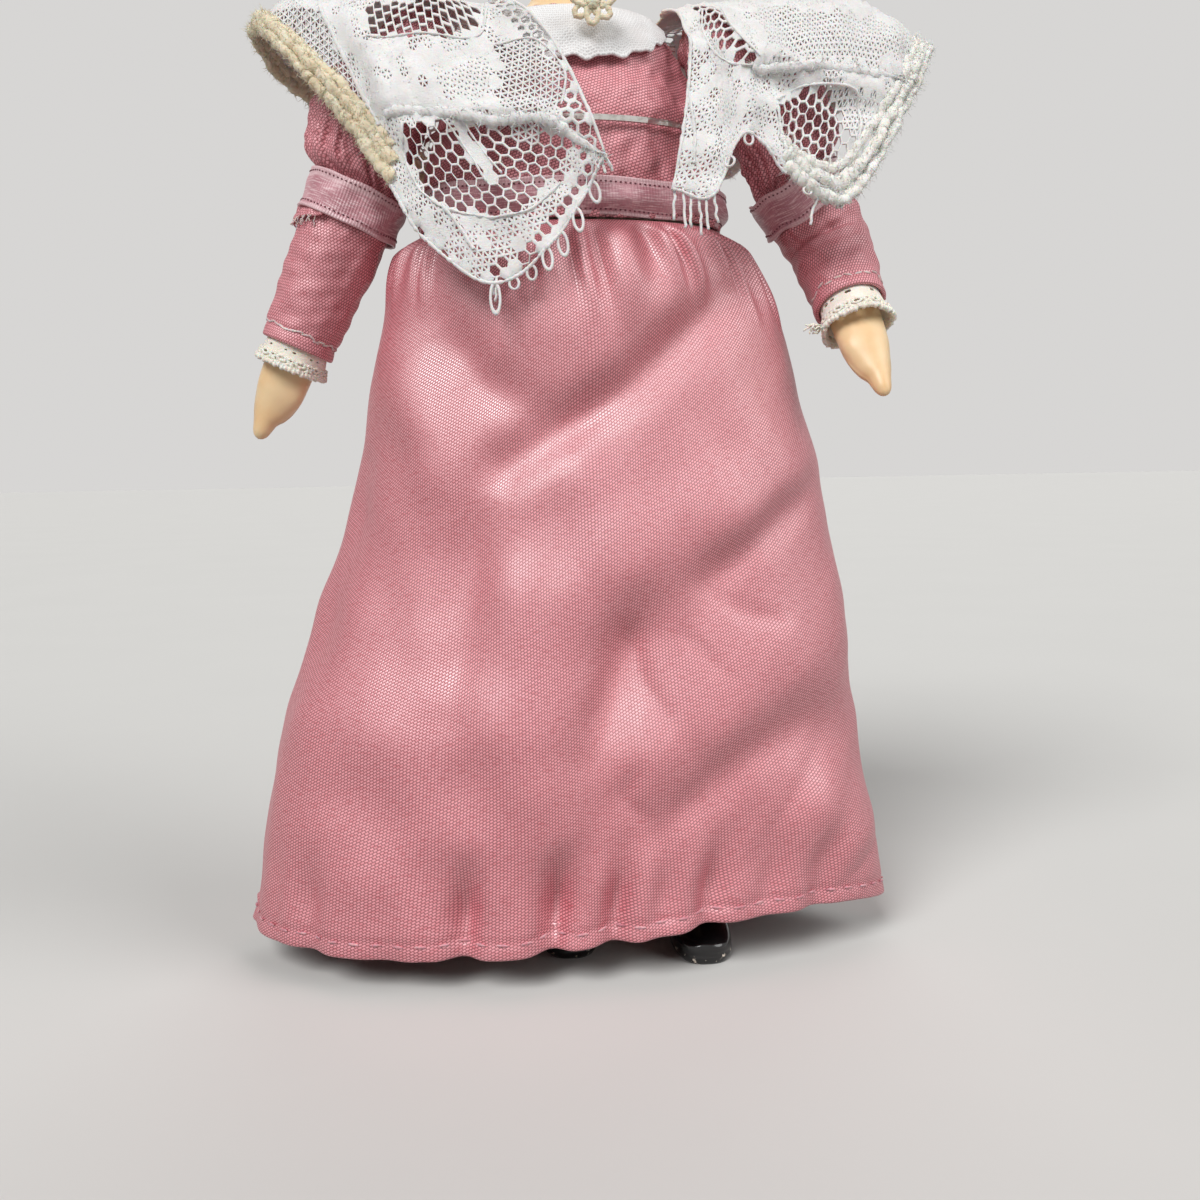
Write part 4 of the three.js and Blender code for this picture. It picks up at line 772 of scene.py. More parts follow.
def face_finish():
    """Painted bisque face, in the calm style of a small doll: eyes, brows, lips and a soft blush."""
    figure = bpy.context.scene.doll_figure
    clay, skin = bisque("painted_bisque", 0.1)
    x, y, z = clay.parts(clay.object_mm())
    aside = clay.math("ABSOLUTE", clay.minus(x, float(AXIS[0])))
    up = clay.minus(z, float(CHIN))
    front = clay.ease(clay.minus(y, float(AXIS[1])), -2.0, -4.0)

    def oval(across, high, half_width, half_height, soft=0.12):
        """1 inside an oval of the face, by its middle and half sizes."""
        dx = clay.math("DIVIDE", clay.minus(aside, across), half_width)
        dz = clay.math("DIVIDE", clay.minus(up, high), half_height)
        away = clay.math("SQRT", clay.plus(clay.times(dx, dx), clay.times(dz, dz)))
        return clay.times(clay.ease(away, 1 + soft, 1 - soft), front)

    def arc(across, high, half_width, half_height, inner):
        """An arched stroke: an oval less a like one set lower."""
        lower = oval(across, high - inner, 1.04 * half_width, half_height)
        return clay.times(oval(across, high, half_width, half_height), clay.minus(1.0, lower))

    eye = oval(2.75, 9.9, 1.35, 0.72)
    lash = clay.times(arc(2.8, 10.0, 1.55, 0.88, 0.26), clay.ease(up, 9.7, 10.0))
    brow = clay.times(arc(3.0, 11.5, 1.7, 0.9, 0.22), clay.ease(up, 11.3, 11.8))
    upper_lip = clay.math("MAXIMUM", oval(0.55, 3.95, 0.85, 0.3), oval(0, 3.8, 1.3, 0.2))
    lips = clay.math("MAXIMUM", upper_lip, oval(0, 3.35, 0.95, 0.4))
    # Blush, white of the eye, iris, pupil, glint, lash, brow, lips, parting of the lips and nostrils
    strokes = (
        (clay.times(oval(3.9, 6.6, 2.1, 1.7, 0.9), 0.5), figure.blush),
        (eye, (0.78, 0.76, 0.72)),
        (clay.times(oval(2.7, 9.95, 0.66, 0.7), eye), figure.iris),
        (clay.times(oval(2.7, 9.95, 0.32, 0.34), eye), (0.01, 0.01, 0.012)),
        (oval(2.5, 10.2, 0.14, 0.14), (0.9, 0.9, 0.9)),
        (lash, (0.06, 0.03, 0.02)),
        (clay.times(brow, 0.75), figure.hair_light),
        (clay.times(lips, 0.85), figure.lips),
        (clay.times(oval(0, 3.68, 1.25, 0.09), 0.7), (0.25, 0.05, 0.05)),
        (clay.times(oval(0.55, 5.75, 0.2, 0.14), 0.6), (0.45, 0.15, 0.1)),
    )
    for mask, paint in strokes:
        skin = clay.blend(mask, skin, paint)
    clay.colour(skin)
    return clay.material


def shown_rays(tree):
    """1 for rays that show the room, seen straight on or mirrored, and 0 for those that only light."""
    nodes = Nodes(tree)
    path = nodes.add("ShaderNodeLightPath").outputs
    seen = nodes.math("MAXIMUM", path["Is Camera Ray"], path["Is Glossy Ray"])
    return nodes.math("MAXIMUM", seen, path["Is Transmission Ray"])


def floor_finish():
    """Plain pale floor with a faint grain, which throws little light back up."""
    stage = bpy.context.scene.doll_stage
    board = Finish("pale_floor", stage.floor, 0.8)
    grain = board.noise(board.object_mm(), 0.02, 3)
    dusk = [0.96 * c for c in stage.floor]
    dim = [stage.floor_return * c for c in stage.floor]
    board.colour(board.blend(shown_rays(board.tree), dim, board.blend(grain, stage.floor, dusk)))
    return board.material


# Satins: turn of the weave in degrees and dullness
SATINS = {"skirt_satin": (-36, 0.34), "sleeve_satin": (-58, 0.5), "bodice_satin": (-20, 0.5)}
# Cottons: colour and shade as seen, and pitch of the weave
COTTONS = {
    "linen": ((236, 236, 236), (196, 182, 178), 0.26),
    "calico": ((226, 214, 192), (182, 166, 140), 0.3),
}
# Threads: name of the material, colour and shade as seen, depth of the fuzz and fineness of the fibre
THREADS = {
    "lace": ("lace_thread", (237, 236, 235), (224, 222, 220), 0.5, 3.2),
    "cream": ("cream_edging", (243, 233, 209), (226, 210, 178), 0.8, 1.8),
    "white_edging": ("white_edging", (247, 246, 242), (238, 235, 227), 0.8, 1.8),
    "stitch": ("stitch_thread", (226, 178, 184), (190, 120, 132), 0.5, 2.4),
    # Dark ribbon stitches: their colour is painted shade of the stitch holes
    "ribbon_hole": ("ribbon_hole_thread", (132, 78, 88), (108, 56, 66), 0.5, 2.4),
    "white_stitch": ("white_thread", (238, 224, 220), (206, 176, 176), 0.5, 2.4),
    "cuff": ("cuff_lace_thread", (248, 244, 235), (237, 229, 214), 0.5, 2.4),
}
OTHER_FINISHES = {
    "ribbon": ribbon_finish,
    "hand": hand_finish,
    "right_leg": lambda: leg_finish("right"),
    "left_leg": lambda: leg_finish("left"),
    "hair": hair_finish,
    "steel": steel_finish,
    "face": face_finish,
    "floor": floor_finish,
}


def made_finish(name):
    """A new finish by name, from the tables or by its own maker."""
    if name in SATINS:
        return satin_finish(name, *SATINS[name])
    if name in COTTONS:
        return plain_weave(name, *COTTONS[name])
    if name in THREADS:
        return thread_finish(*THREADS[name])
    return OTHER_FINISHES[name]()


FINISHES = {}


def finish(name):
    """A finish of the doll by name, made when it is first asked for."""
    if name not in FINISHES:
        FINISHES[name] = made_finish(name)
    return FINISHES[name]


class Tree(Nodes):
    """A geometry tree: a mesh and named sizes go in, and one smooth mesh of one material comes out."""

    def __init__(self, name, sizes):
        super().__init__(bpy.data.node_groups.new(name, "GeometryNodeTree"))
        self.sockets = {}
        self.socket("Geometry", "NodeSocketGeometry")
        for label, default in sizes.items():
            kind = "NodeSocketInt" if isinstance(default, int) else "NodeSocketFloat"
            self.socket(label, kind).default_value = default
        self.socket("Material", "NodeSocketMaterial")
        self.tree.interface.new_socket(name="Geometry", in_out="OUTPUT", socket_type="NodeSocketGeometry")
        self.given = self.tree.nodes.new("NodeGroupInput").outputs

    def socket(self, label, kind):
        made = self.tree.interface.new_socket(name=label, in_out="INPUT", socket_type=kind)
        self.sockets[label] = made.identifier
        return made

    def vector(self, x, y, z):
        return self.add("ShaderNodeCombineXYZ", {"X": x, "Y": y, "Z": z})

    def attribute(self, label, kind):
        return self.add("GeometryNodeInputNamedAttribute", {"Name": label}, data_type=kind)

    def circle(self, count, radius):
        sizes = {"Resolution": count, "Radius": radius}
        return self.add("GeometryNodeCurvePrimitiveCircle", sizes, mode="RADIUS")

    def chance(self, low, high, seed):
        """A number between two for each point, drawn with a seed."""
        node = self.add("FunctionNodeRandomValue", {"Seed": seed}, data_type="FLOAT")
        limits = [socket for socket in node.inputs if socket.type == "VALUE"]
        self.put(limits[0], low)
        self.put(limits[1], high)
        return next(socket for socket in node.outputs if socket.type == "VALUE")

    def end(self, instances):
        """Makes the instances one smooth mesh in the material that was asked for."""
        real = self.add("GeometryNodeRealizeInstances", {0: instances})
        shade = self.add("GeometryNodeSetShadeSmooth", {0: real})
        inputs = {"Geometry": shade, "Material": self.given["Material"]}
        self.add("NodeGroupOutput", {0: self.add("GeometryNodeSetMaterial", inputs)})
        return self


def stitch_tree():
    """Running stitches: a rounded thread at each step of a path, with a little waver."""
    sizes = {"Pitch": 0.0026, "Length": 0.0013, "Radius": 0.00016, "Waver": 0.12, "Seed": 3}
    tree = Tree("Running stitches", sizes)
    given = tree.given
    curve = tree.add("GeometryNodeMeshToCurve", {0: given["Geometry"]})
    steps = {"Curve": curve, "Length": given["Pitch"]}
    points = tree.add("GeometryNodeCurveToPoints", steps, mode="LENGTH")
    thread = tree.add("GeometryNodeMeshUVSphere", {"Segments": 8, "Rings": 8, "Radius": 1.0})
    half = tree.times(given["Length"], 0.5)
    places = {
        "Points": points,
        "Rotation": points.outputs["Rotation"],
        "Instance": thread,
        "Scale": tree.vector(given["Radius"], given["Radius"], half),
    }
    placed = tree.add("GeometryNodeInstanceOnPoints", places)
    waver = tree.chance(tree.times(given["Waver"], -1), given["Waver"], given["Seed"])
    turns = {"Instances": placed, "Rotation": tree.vector(waver, waver, 0)}
    return tree.end(tree.add("GeometryNodeRotateInstances", turns))


def picot_tree():
    """Picots: a long thread loop at each point, turned to the point's own direction and length."""
    tree = Tree("Picot loops", {"Half width": 0.00045, "Thread": 0.00015})
    given = tree.given
    stand = {0: tree.circle(20, 1.0), "Rotation": (math.pi / 2, 0, 0), "Translation": (0, 0, 1)}
    upright = tree.add("GeometryNodeTransform", stand)
    shape = {0: upright, "Scale": tree.vector(given["Half width"], 1.0, 0.0008)}
    loop = tree.add("GeometryNodeTransform", shape)
    cord = {"Curve": loop, "Profile Curve": tree.circle(6, given["Thread"])}
    heading = {"Vector": tree.attribute("heading", "FLOAT_VECTOR")}
    point_out = tree.add("FunctionNodeAlignRotationToVector", heading, axis="Z")
    facing = {"Rotation": point_out, "Vector": tree.attribute("facing", "FLOAT_VECTOR")}
    places = {
        "Points": tree.add("GeometryNodeMeshToPoints", {0: given["Geometry"]}),
        "Instance": tree.add("GeometryNodeCurveToMesh", cord),
        "Rotation": tree.add("FunctionNodeAlignRotationToVector", facing, axis="Y", pivot_axis="Z"),
        "Scale": tree.vector(1.0, 1.0, tree.attribute("reach", "FLOAT")),
    }
    return tree.end(tree.add("GeometryNodeInstanceOnPoints", places))


def fibre_tree():
    """Fuzz: short tapered hairs on a surface, each leaning its own way."""
    sizes = {"Density": 2e6, "Length": 0.0007, "Thread": 0.00003, "Lean": 1.1, "Seed": 5}
    tree = Tree("Fibres", sizes)
    given = tree.given
    spread = {"Mesh": given["Geometry"], "Density": given["Density"], "Seed": given["Seed"]}
    points = tree.add("GeometryNodeDistributePointsOnFaces", spread)
    hair = {"Vertices": 4, "Radius Bottom": given["Thread"], "Depth": given["Length"]}
    back = tree.times(given["Lean"], -1)
    limits = ((back, given["Lean"]), (back, given["Lean"]), (0.35, 1.3))
    seeds = [tree.plus(given["Seed"], shift) for shift in (1, 2, 3)]
    lean, turn, size = (tree.chance(*limit, seed) for limit, seed in zip(limits, seeds))
    places = {
        "Points": points,
        "Rotation": points.outputs["Rotation"],
        "Instance": tree.add("GeometryNodeMeshCone", hair),
        "Scale": size,
    }
    placed = tree.add("GeometryNodeInstanceOnPoints", places)
    turns = {"Instances": placed, "Rotation": tree.vector(lean, turn, 0)}
    return tree.end(tree.add("GeometryNodeRotateInstances", turns))


TREES = {}


def grown(name, seed_mesh, maker, sizes, material):
    """Runs a geometry tree, made on its first use, on a mesh and keeps the result as a plain piece."""
    if maker not in TREES:
        TREES[maker] = maker()
    tree = TREES[maker]
    host = bpy.data.objects.new(name, seed_mesh)
    bpy.context.scene.collection.objects.link(host)
    modifier = host.modifiers.new("Grow", "NODES")
    modifier.node_group = tree.tree
    for label, value in sizes.items():
        modifier[tree.sockets[label]] = value
    modifier[tree.sockets["Material"]] = finish(material)
    bpy.context.view_layer.update()
    seen = host.evaluated_get(bpy.context.evaluated_depsgraph_get())
    mesh = bpy.data.meshes.new_from_object(seen)
    host.modifiers.clear()
    host.data = mesh
    if not mesh.polygons:
        raise RuntimeError(f"{name}: the tree gave no faces")
    return host


def path_mesh(name, points):
    """A closed line of edges through points, as the path of a geometry tree."""
    mesh = bpy.data.meshes.new(name)
    edges = [(i, (i + 1) % len(points)) for i in range(len(points))]
    mesh.from_pydata(((np.asarray(points) + AXIS) * MM).tolist(), edges, [])
    return mesh


def stitches(name, points, pitch, length, radius, material):
    """Stitches round a closed path, by their pitch, length and thickness in millimetres."""
    sizes = {"Pitch": pitch * MM, "Length": length * MM, "Radius": radius * MM, "Seed": 3}
    return grown(name, path_mesh(name, points), stitch_tree, sizes, material)


def fibres(name, mesh, density, material, length, thread):
    """Fuzz on a copy of a mesh, with so many hairs for each square millimetre."""
    sizes = {"Density": density / MM**2, "Length": length * MM, "Thread": thread * MM, "Seed": 5}
    return grown(name, mesh.copy(), fibre_tree, sizes, material)


# Gown


def skirt_skin(columns, heights):
    """Rows of the skirt's surface from the hem up, with its gathers, dents and pressed side edges."""
    gown = bpy.context.scene.doll_gown
    z, a = np.meshgrid(np.asarray(heights, float), round_angles(columns), indexing="ij")
    shift, rx, ry = along(SKIRT, z)
    down = (SKIRT_TOP - z) / (SKIRT_TOP - HEM)
    pressed = 1 + 0.22 * smooth(down, 0.15, 0.9)
    x = shift + rx * squared(np.cos(a), pressed)
    y = ry * squared(np.sin(a), pressed)
    front = smooth(-np.sin(a), -0.1, 0.35)
    flare = unit(np.stack([np.cos(a) / rx, np.sin(a) / ry], -1))
    # Gathers are tight under the doll's left front and slack elsewhere
    tight = 0.4 + 0.6 * bell(x, 9, 8) * front
    uneven = ruffle(np.stack([a * 6, z * 0.02], -1), 2.2, 11)
    gather = np.cos(gown.gathers * a + 2.0 * uneven + 0.02 * (SKIRT_TOP - z) * uneven)
    fade = 0.035 + 0.03 * uneven
    depth = gown.gather_depth * smooth(down, 0.0, 0.02) * (1 - smooth(down, fade, fade + 0.1))
    swell = depth * tight * gather
    for start, middle, end, width, height in SKIRT_FOLDS:
        swell += front * height * fold_line(x, z, start, middle, end, width)
    above = (z - HEM) / PUCKER_HEIGHT
    for foot, drawn in HEM_PUCKERS:
        tuck = (0.6 + 0.4 * smooth(above, 0, 0.45)) * (1 - smooth(above, 0.15, 1))
        swell -= front * drawn * tuck * bell(x, foot + 1.4 * above, 1.7)
    swell += (1 - front) * 1.2 * np.sin(6 * a + 3 * down) * smooth(down, 0.2, 0.95)
    for side, level, spread, out in SIDE_SWELLS:
        swell += out * smooth(side * np.cos(a), 0.35, 0.95) * bell(z, level, spread)
    place = np.stack([x, y, z], -1)
    swell += 0.06 * ruffle(place, 6, 21) * smooth(down, 0.03, 0.2)
    swell += 0.25 * ruffle(place, 15, 22) * smooth(down, 0.05, 0.3)
    rise, middle, spread = HEM_LIFT
    lift = rise * bell(x, middle, spread) * smooth(-y / SKIRT[0][3], -0.2, 0.5)
    points = np.stack([x, y, z + lift * down * down], -1)
    points[..., :2] += flare * swell[..., None]
    return points


def steps(*spans):
    """Heights over joined spans of a start, an end and a count."""
    return np.concatenate([np.linspace(*span)[1 if i else 0 :] for i, span in enumerate(spans)])


def turned_hem(edge, out, up, size, count, rises, inset):
    """Rows of a hem that is turned under: a strip up the inside and a roll down to the edge."""
    turns = np.linspace(0, math.pi, count)[1:]
    roll = [edge - out * size * (1 - math.cos(t)) - up * size * math.sin(t) for t in turns]
    strip = [roll[-1] + up * rise - out * inset for rise in rises]
    return np.array((roll + strip)[::-1])


def make_skirt():
    """Skirt with a turned and stitched hem."""
    gown = bpy.context.scene.doll_gown
    heights = steps((HEM, 20, 42), (20, 70, 66), (70, SKIRT_TOP, 44))
    outer = skirt_skin(300, heights)
    normal = outward(outer)
    flat = unit(normal[0] * (1, 1, 0))
    hem = turned_hem(outer[0], flat, np.array([0, 0, 1.0]), 0.42, 7, (0.8, 1.7, 2.6), 0.1)
    # A shallow groove where the running stitch pulls the two layers together
    pull = bell(heights, HEM + STITCH_LINE, 0.45)
    rows = np.concatenate([hem, outer - normal * (0.16 * pull)[:, None, None]])
    skirt = Cloth().grid(rows, closed=True).piece("skirt_cloth", finish("skirt_satin"), wall=0.32)
    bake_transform(skirt)
    dress(["skirt"])
    line = outer + normal * 0.02
    row = int(np.argmin(np.abs(heights - HEM - STITCH_LINE)))
    seam = stitches("hem_stitches", line[row], gown.stitch_pitch, 1.35, 0.15, "stitch")
    settle(seam, "hips")


def torso_rows(heights, grow, columns):
    """Rings of points a step off the torso, with the angles of their columns."""
    z, a = np.meshgrid(np.asarray(heights, float), round_angles(columns), indexing="ij")
    rx, ry = along(TORSO, z)
    return ovals(a, rx + grow, ry + grow, z), a


def make_bodice():
    """Bodice pleated into the waist and pinched under the wire tied round it."""
    heights = np.linspace(WAIST - 2, NECKLINE, 64)
    rows, a = torso_rows(heights, BODICE, 220)
    z = rows[..., 2]
    normal = outward(rows)
    fullness = bell(z, WAIST + 1, 5)
    pleat = np.cos(34 * a + 1.6 * ruffle(np.stack([a * 6, z * 0.1], -1), 2.5, 31))
    crease = 0.22 * pleat * fullness + 0.16 * ruffle(rows, 3.2, 32) + 0.2 * ruffle(rows, 7, 33)
    pinch = bell(z, WIRE_HEIGHT, 0.7)
    rows = rows + normal * (crease * (1 - 0.8 * pinch) - 0.12 * pinch - 0.1)[..., None]
    bodice = Cloth().grid(rows, closed=True).piece("bodice_cloth", finish("bodice_satin"), wall=0.3)
    bored(bodice.data, 1.7, 0)
    settle(bodice, "torso", ["bodice"])


def make_bib():
    """Linen bib under the collar, with a waved lower edge."""
    spread = math.radians(62)
    turn, up = np.meshgrid(np.linspace(-spread, spread, 110), np.linspace(0, 1, 36))
    wave = 0.35 * np.cos(turn * 23 + 0.8) + 0.2 * np.cos(turn * 41)
    foot = NECKLINE - 6.5 + 4.5 * (turn / spread) ** 2 + wave * 0.6
    z = mix(foot, NECKLINE - 0.3, up)
    rx, ry = along(TORSO, z)
    swell = TRIM + 0.15 * ruffle(np.stack([turn * 12, z], -1), 2.6, 41) * (1 - up) - 0.05
    points = np.stack([(rx + swell) * np.sin(turn), -(ry + swell) * np.cos(turn), z], -1)
    bib = Cloth().grid(points).piece("bib_linen", finish("linen"), wall=0.28)
    settle(bib, "torso", ["bib"])


def make_throat_bow():
    """Rosette of soft cream cord at the throat: looped petals round a knot."""
    middle = node_middle("throat_bow") - AXIS
    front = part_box("throat_bow")[0].y / MM - AXIS[1]
    cord = Cloth()
    for i in range(7):
        turn = TURN * i / 7 + 0.2
        out = np.linspace(0, TURN, 28)
        along_petal = 1.15 * (1 - np.cos(out))
        across = 0.62 * np.sin(out)
        x = middle[0] + along_petal * math.cos(turn) - across * math.sin(turn)
        z = middle[2] + along_petal * math.sin(turn) + across * math.cos(turn)
        y = front + 1.0 - 0.5 * np.sin(out / 2) - 0.15 * (i % 2)
        fuzz = 0.3 + 0.05 * np.cos(9 * out + i)
        cord.tube(np.stack([x, y, z], -1), fuzz, 8)
    for i in range(3):
        turn = TURN * i / 3
        t = np.linspace(0, TURN, 24)
        x = middle[0] + 0.5 * np.cos(t) * math.cos(turn)
        z = middle[2] + 0.5 * np.cos(t) * math.sin(turn) + 0.2 * np.sin(t)
        cord.tube(np.stack([x, front + 0.55 + 0.35 * np.sin(t), z], -1), 0.3, 8)
    bow = cord.piece("throat_rosette", finish("cream"))
    settle(bow, "torso", ["throat_bow"])


def make_waist_ribbon():
    """Waist ribbon with a raised selvedge and two rows of small stitches, dark beads whose colour is painted
    shade of their holes.
    """
    low, high = WAIST - 2, WAIST + 2
    heights = np.linspace(low, high, 22)
    rows, a = torso_rows(heights, TRIM, 260)
    z = rows[..., 2]
    normal = outward(rows)
    edge = bell(z, low, 0.3) + bell(z, high, 0.3)
    tuck = 0.85 * (1 - smooth(z, low, WAIST))
    bulge = 0.1 * edge + 0.1 * ruffle(np.stack([a * 9, z], -1), 3.0, 51) - tuck
    sag = 0.16 * ruffle(np.stack([a * 8], -1), 5, 52)
    rows = rows + normal * (bulge - 0.12)[..., None]
    rows[..., 2] += sag
    ribbon = Cloth().grid(rows, closed=True).piece("waist_ribbon_band", finish("ribbon"), wall=0.3)
    settle(ribbon, "torso", ["waist_ribbon"])
    # Stitch rows: dark beads whose colour is painted shade of their holes
    for name, row in (("waist_ribbon_stitches_low", 3), ("waist_ribbon_stitches_high", 18)):
        line = rows[row] + normal[row] * 0.02
        settle(stitches(name, line, *RIBBON_STITCH), "torso")


# Arms


def turned(axis, degrees):
    """A turn about an axis, as a 3 by 3 array."""
    return np.array(Matrix.Rotation(math.radians(degrees), 3, axis))


def arm_axes(name):
    """Shoulder and elbow of an arm, with the turns of the parts that hang from them."""
    side, lift, inward, flex, _ = ARMS[name]
    upper = turned("Y", -side * lift)
    fore = upper @ turned("Y", side * inward) @ turned("X", -flex)
    return JOINT[f"{name}_shoulder"], upper, JOINT[f"{name}_elbow"], fore


def lofted(stations, heights, columns, wave):
    """Rings over stations of height, middle x, middle y, half width and half depth, swelled by a wave."""
    z, a = np.meshgrid(np.asarray(heights, float), round_angles(columns), indexing="ij")
    x, y, rx, ry = along(stations, z)
    points = ovals(a, rx, ry, z, x, y)
    return points + outward(points) * wave(points, a)[..., None]


def rounds(*pairs):
    """Stations of round rings by height and radius."""
    return tuple((z, 0, 0, radius, radius) for z, radius in pairs)


def make_puff(name):
    """Puffed upper sleeve: full at the middle, drawn in by deep uneven gathers above its ribbon."""
    side = ARMS[name][0]
    shoulder, upper, _, _ = arm_axes(name)
    foot = -(PUFF_LENGTH + BAND_WIDTH - 0.3)
    stations = (
        *rounds((foot, 4.8), (-PUFF_LENGTH, 4.8)),
        (-0.93 * PUFF_LENGTH, side * 1.0, 0, 5.75, 5.85),
        (-0.84 * PUFF_LENGTH, side * 1.7, 0, 6.05, 6.15),
        (-0.5 * PUFF_LENGTH, side * 2, 0, 6.25, 6.25),
        (-0.2 * PUFF_LENGTH, side * 1, 0, 5.3, 6.0),
        *rounds((0, 4.35), (2.2, 3.75), (3.5, 2.6), (4.15, 1.3), (4.35, 0.5)),
    )
    heights = steps((foot, -0.8 * PUFF_LENGTH, 40), (-0.8 * PUFF_LENGTH, 4.35, 60))

    def creases(points, a):
        z = points[..., 2]
        uneven = ruffle(np.stack([a * 5, z * 0.05], -1), 2.4, 61 + side)
        phase = 7.5 * a + 1.3 * uneven
        valley = 1 - np.abs(np.sin(phase)) ** 0.55
        low = smooth(z, -PUFF_LENGTH - 0.4, -PUFF_LENGTH + 0.8)
        low = low * (1 - smooth(z, -0.86 * PUFF_LENGTH, -0.45 * PUFF_LENGTH))
        high = smooth(z, -0.4 * PUFF_LENGTH, 0)
        soft = 0.18 * ruffle(points, 3.0, 63 + side) + 0.12 * ruffle(points, 1.4, 65)
        return soft * smooth(z, -PUFF_LENGTH, -0.8 * PUFF_LENGTH) - (low + 0.4 * high) * valley

    rows = lofted(stations, heights, 200, creases)
    cloth = Cloth().grid(shoulder + rows @ upper.T, closed=True)
    cloth.cap(shoulder + np.array([0, 0, 4.4]) @ upper.T)
    puff = cloth.piece(f"{name}_puff_cloth", finish("sleeve_satin"), wall=0.3)
    settle(puff, f"{name}_arm", [f"{name}_puff_sleeve"])
    puff_hem(shoulder, upper) if name == "right" else ()


def puff_hem(shoulder, upper):
    """A corner of the right puff's raw hem that shows under its ribbon, with frayed threads at its end."""
    top = -(PUFF_LENGTH + BAND_WIDTH + 0.2)
    down, round_arm = np.meshgrid(np.linspace(1, 0, 10), np.linspace(0, 1, 44), indexing="ij")
    a = np.radians(mix(166, 250, round_arm))
    z = top - down * (0.5 + 2.0 * (1 - round_arm) ** 0.8)
    radius = 5.5 + 0.1 * down + 0.14 * ruffle(np.stack([a * 5, z], -1), 1.6, 67)
    rows = ovals(a, radius, radius, z)
    cloth = Cloth().grid(shoulder + rows @ upper.T)
    corner = cloth.piece("right_puff_hem", finish("sleeve_satin"), wall=0.25)
    threads = Cloth()
    for i, foot in enumerate(rows[0, 16:40:2]):
        heading = upper @ np.array([0.5 * math.sin(2.3 * i), 0.3 * math.cos(1.7 * i), -0.6])
        length = 0.6 + 0.4 * math.sin(i) ** 2
        threads.tube(strand(shoulder + upper @ foot, heading, length, 68 + i), 0.07, 5)
    frayed = threads.piece("right_puff_threads", finish("white_stitch"))
    for piece in (corner, frayed):
        settle(piece, "right_arm")
    return [corner, frayed]


def make_sleeve_ribbon(name):
    """Ribbon tied round the sleeve above the elbow, with two rows of small stitches."""
    side = ARMS[name][0]
    shoulder, upper, _, _ = arm_axes(name)
    low, high = -(PUFF_LENGTH + BAND_WIDTH + 0.45), -(PUFF_LENGTH - 0.15)
    stations = rounds((low, 5.75), (mix(low, high, 0.5), 5.7), (high, 5.8))

    def swell(points, a):
        z = points[..., 2]
        edge = bell(z, low, 0.3) + bell(z, high, 0.3)
        return 0.09 * edge + 0.12 * ruffle(np.stack([a * 4, z], -1), 2.4, 71 + side)

    rows = lofted(stations, np.linspace(low, high, 22), 150, swell)
    rows[..., 2] += 0.18 * ruffle(rows[..., :2], 5, 72 + side)
    normal = outward(rows)
    ribbon = Cloth().grid(shoulder + rows @ upper.T, closed=True)
    band = ribbon.piece(f"{name}_ribbon_band", finish("ribbon"), wall=0.3)
    settle(band, f"{name}_arm", [f"{name}_sleeve_ribbon"])
    # Stitch rows: dark beads whose colour is painted shade of their holes
    for label, row in (("low", 3), ("high", 19)):
        line = shoulder + (rows[row] + 0.02 * normal[row]) @ upper.T
        seam = stitches(f"{name}_ribbon_stitches_{label}", line, *RIBBON_STITCH)
        settle(seam, f"{name}_arm")


def make_lower_sleeve(name):
    """Lower sleeve from the ribbon over the elbow to a stitched hem at the wrist."""
    side = ARMS[name][0]
    _, upper, elbow, fore = arm_axes(name)
    top, foot = ELBOW_DROP - 0.3, -ARMS[name][4]
    heights = steps((foot, foot + 3.4, 22), (foot + 3.4, top, 46))
    angle = round_angles(150)
    down, up = Matrix(fore).to_quaternion(), Matrix(upper).to_quaternion()
    rows = []
    for z in heights:
        share = (top - z) / (top - foot)
        radius = mix(5.0, 4.2, float(smooth(share, 0, 1))) + 0.1 * math.sin(3 * share)
        lean = np.array(down.slerp(up, float(smooth(z, -top, top))).to_matrix())
        middle = elbow + (upper if z > 0 else fore) @ np.array([0, 0, z])
        rows.append(middle + ovals(angle, radius, radius, 0.0) @ lean.T)
    rows = np.array(rows)
    normal = outward(rows)
    z, a = np.meshgrid(heights, angle, indexing="ij")
    crease = 0.13 * ruffle(ovals(a, 4.6, 4.6, z), 3.4, 81 + side)
    uneven = ruffle(np.stack([a * 3, z * 0.2], -1), 2, 82 + side)
    crease += 0.1 * np.cos(9 * a + 2 * uneven) * smooth(z, foot + 4, top)
    hem = bell(z, foot + WRIST_HEM, 0.35)
    edge = smooth(z, foot, foot + 1.2)
    rows = rows + normal * (crease * edge - 0.15 * hem)[..., None]
    along_arm = fore @ np.array([0, 0, 1.0])
    under = turned_hem(rows[0], normal[0], along_arm, 0.28, 6, (0.7, 1.5), 0)
    cloth = Cloth().grid(np.concatenate([under, rows]), closed=True)
    sleeve = cloth.piece(f"{name}_sleeve_cloth", finish("sleeve_satin"), wall=0.26)
    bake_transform(sleeve)
    dress([f"{name}_lower_sleeve"])
    row = int(np.argmin(np.abs(heights - foot - WRIST_HEM)))
    line = rows[row] + normal[row] * 0.06
    waver = 0.2 * ruffle(np.stack([3 * np.cos(angle), 3 * np.sin(angle)], -1), 1.4, 83 + side)
    line = line + along_arm * waver[:, None]
    pitch, length = (0.8, 1.05) if name == "right" else (1.25, 1.0)
    seam = stitches(f"{name}_wrist_stitches", line, pitch, length, 0.14, "white_stitch")
    settle(seam, f"{name}_fore")


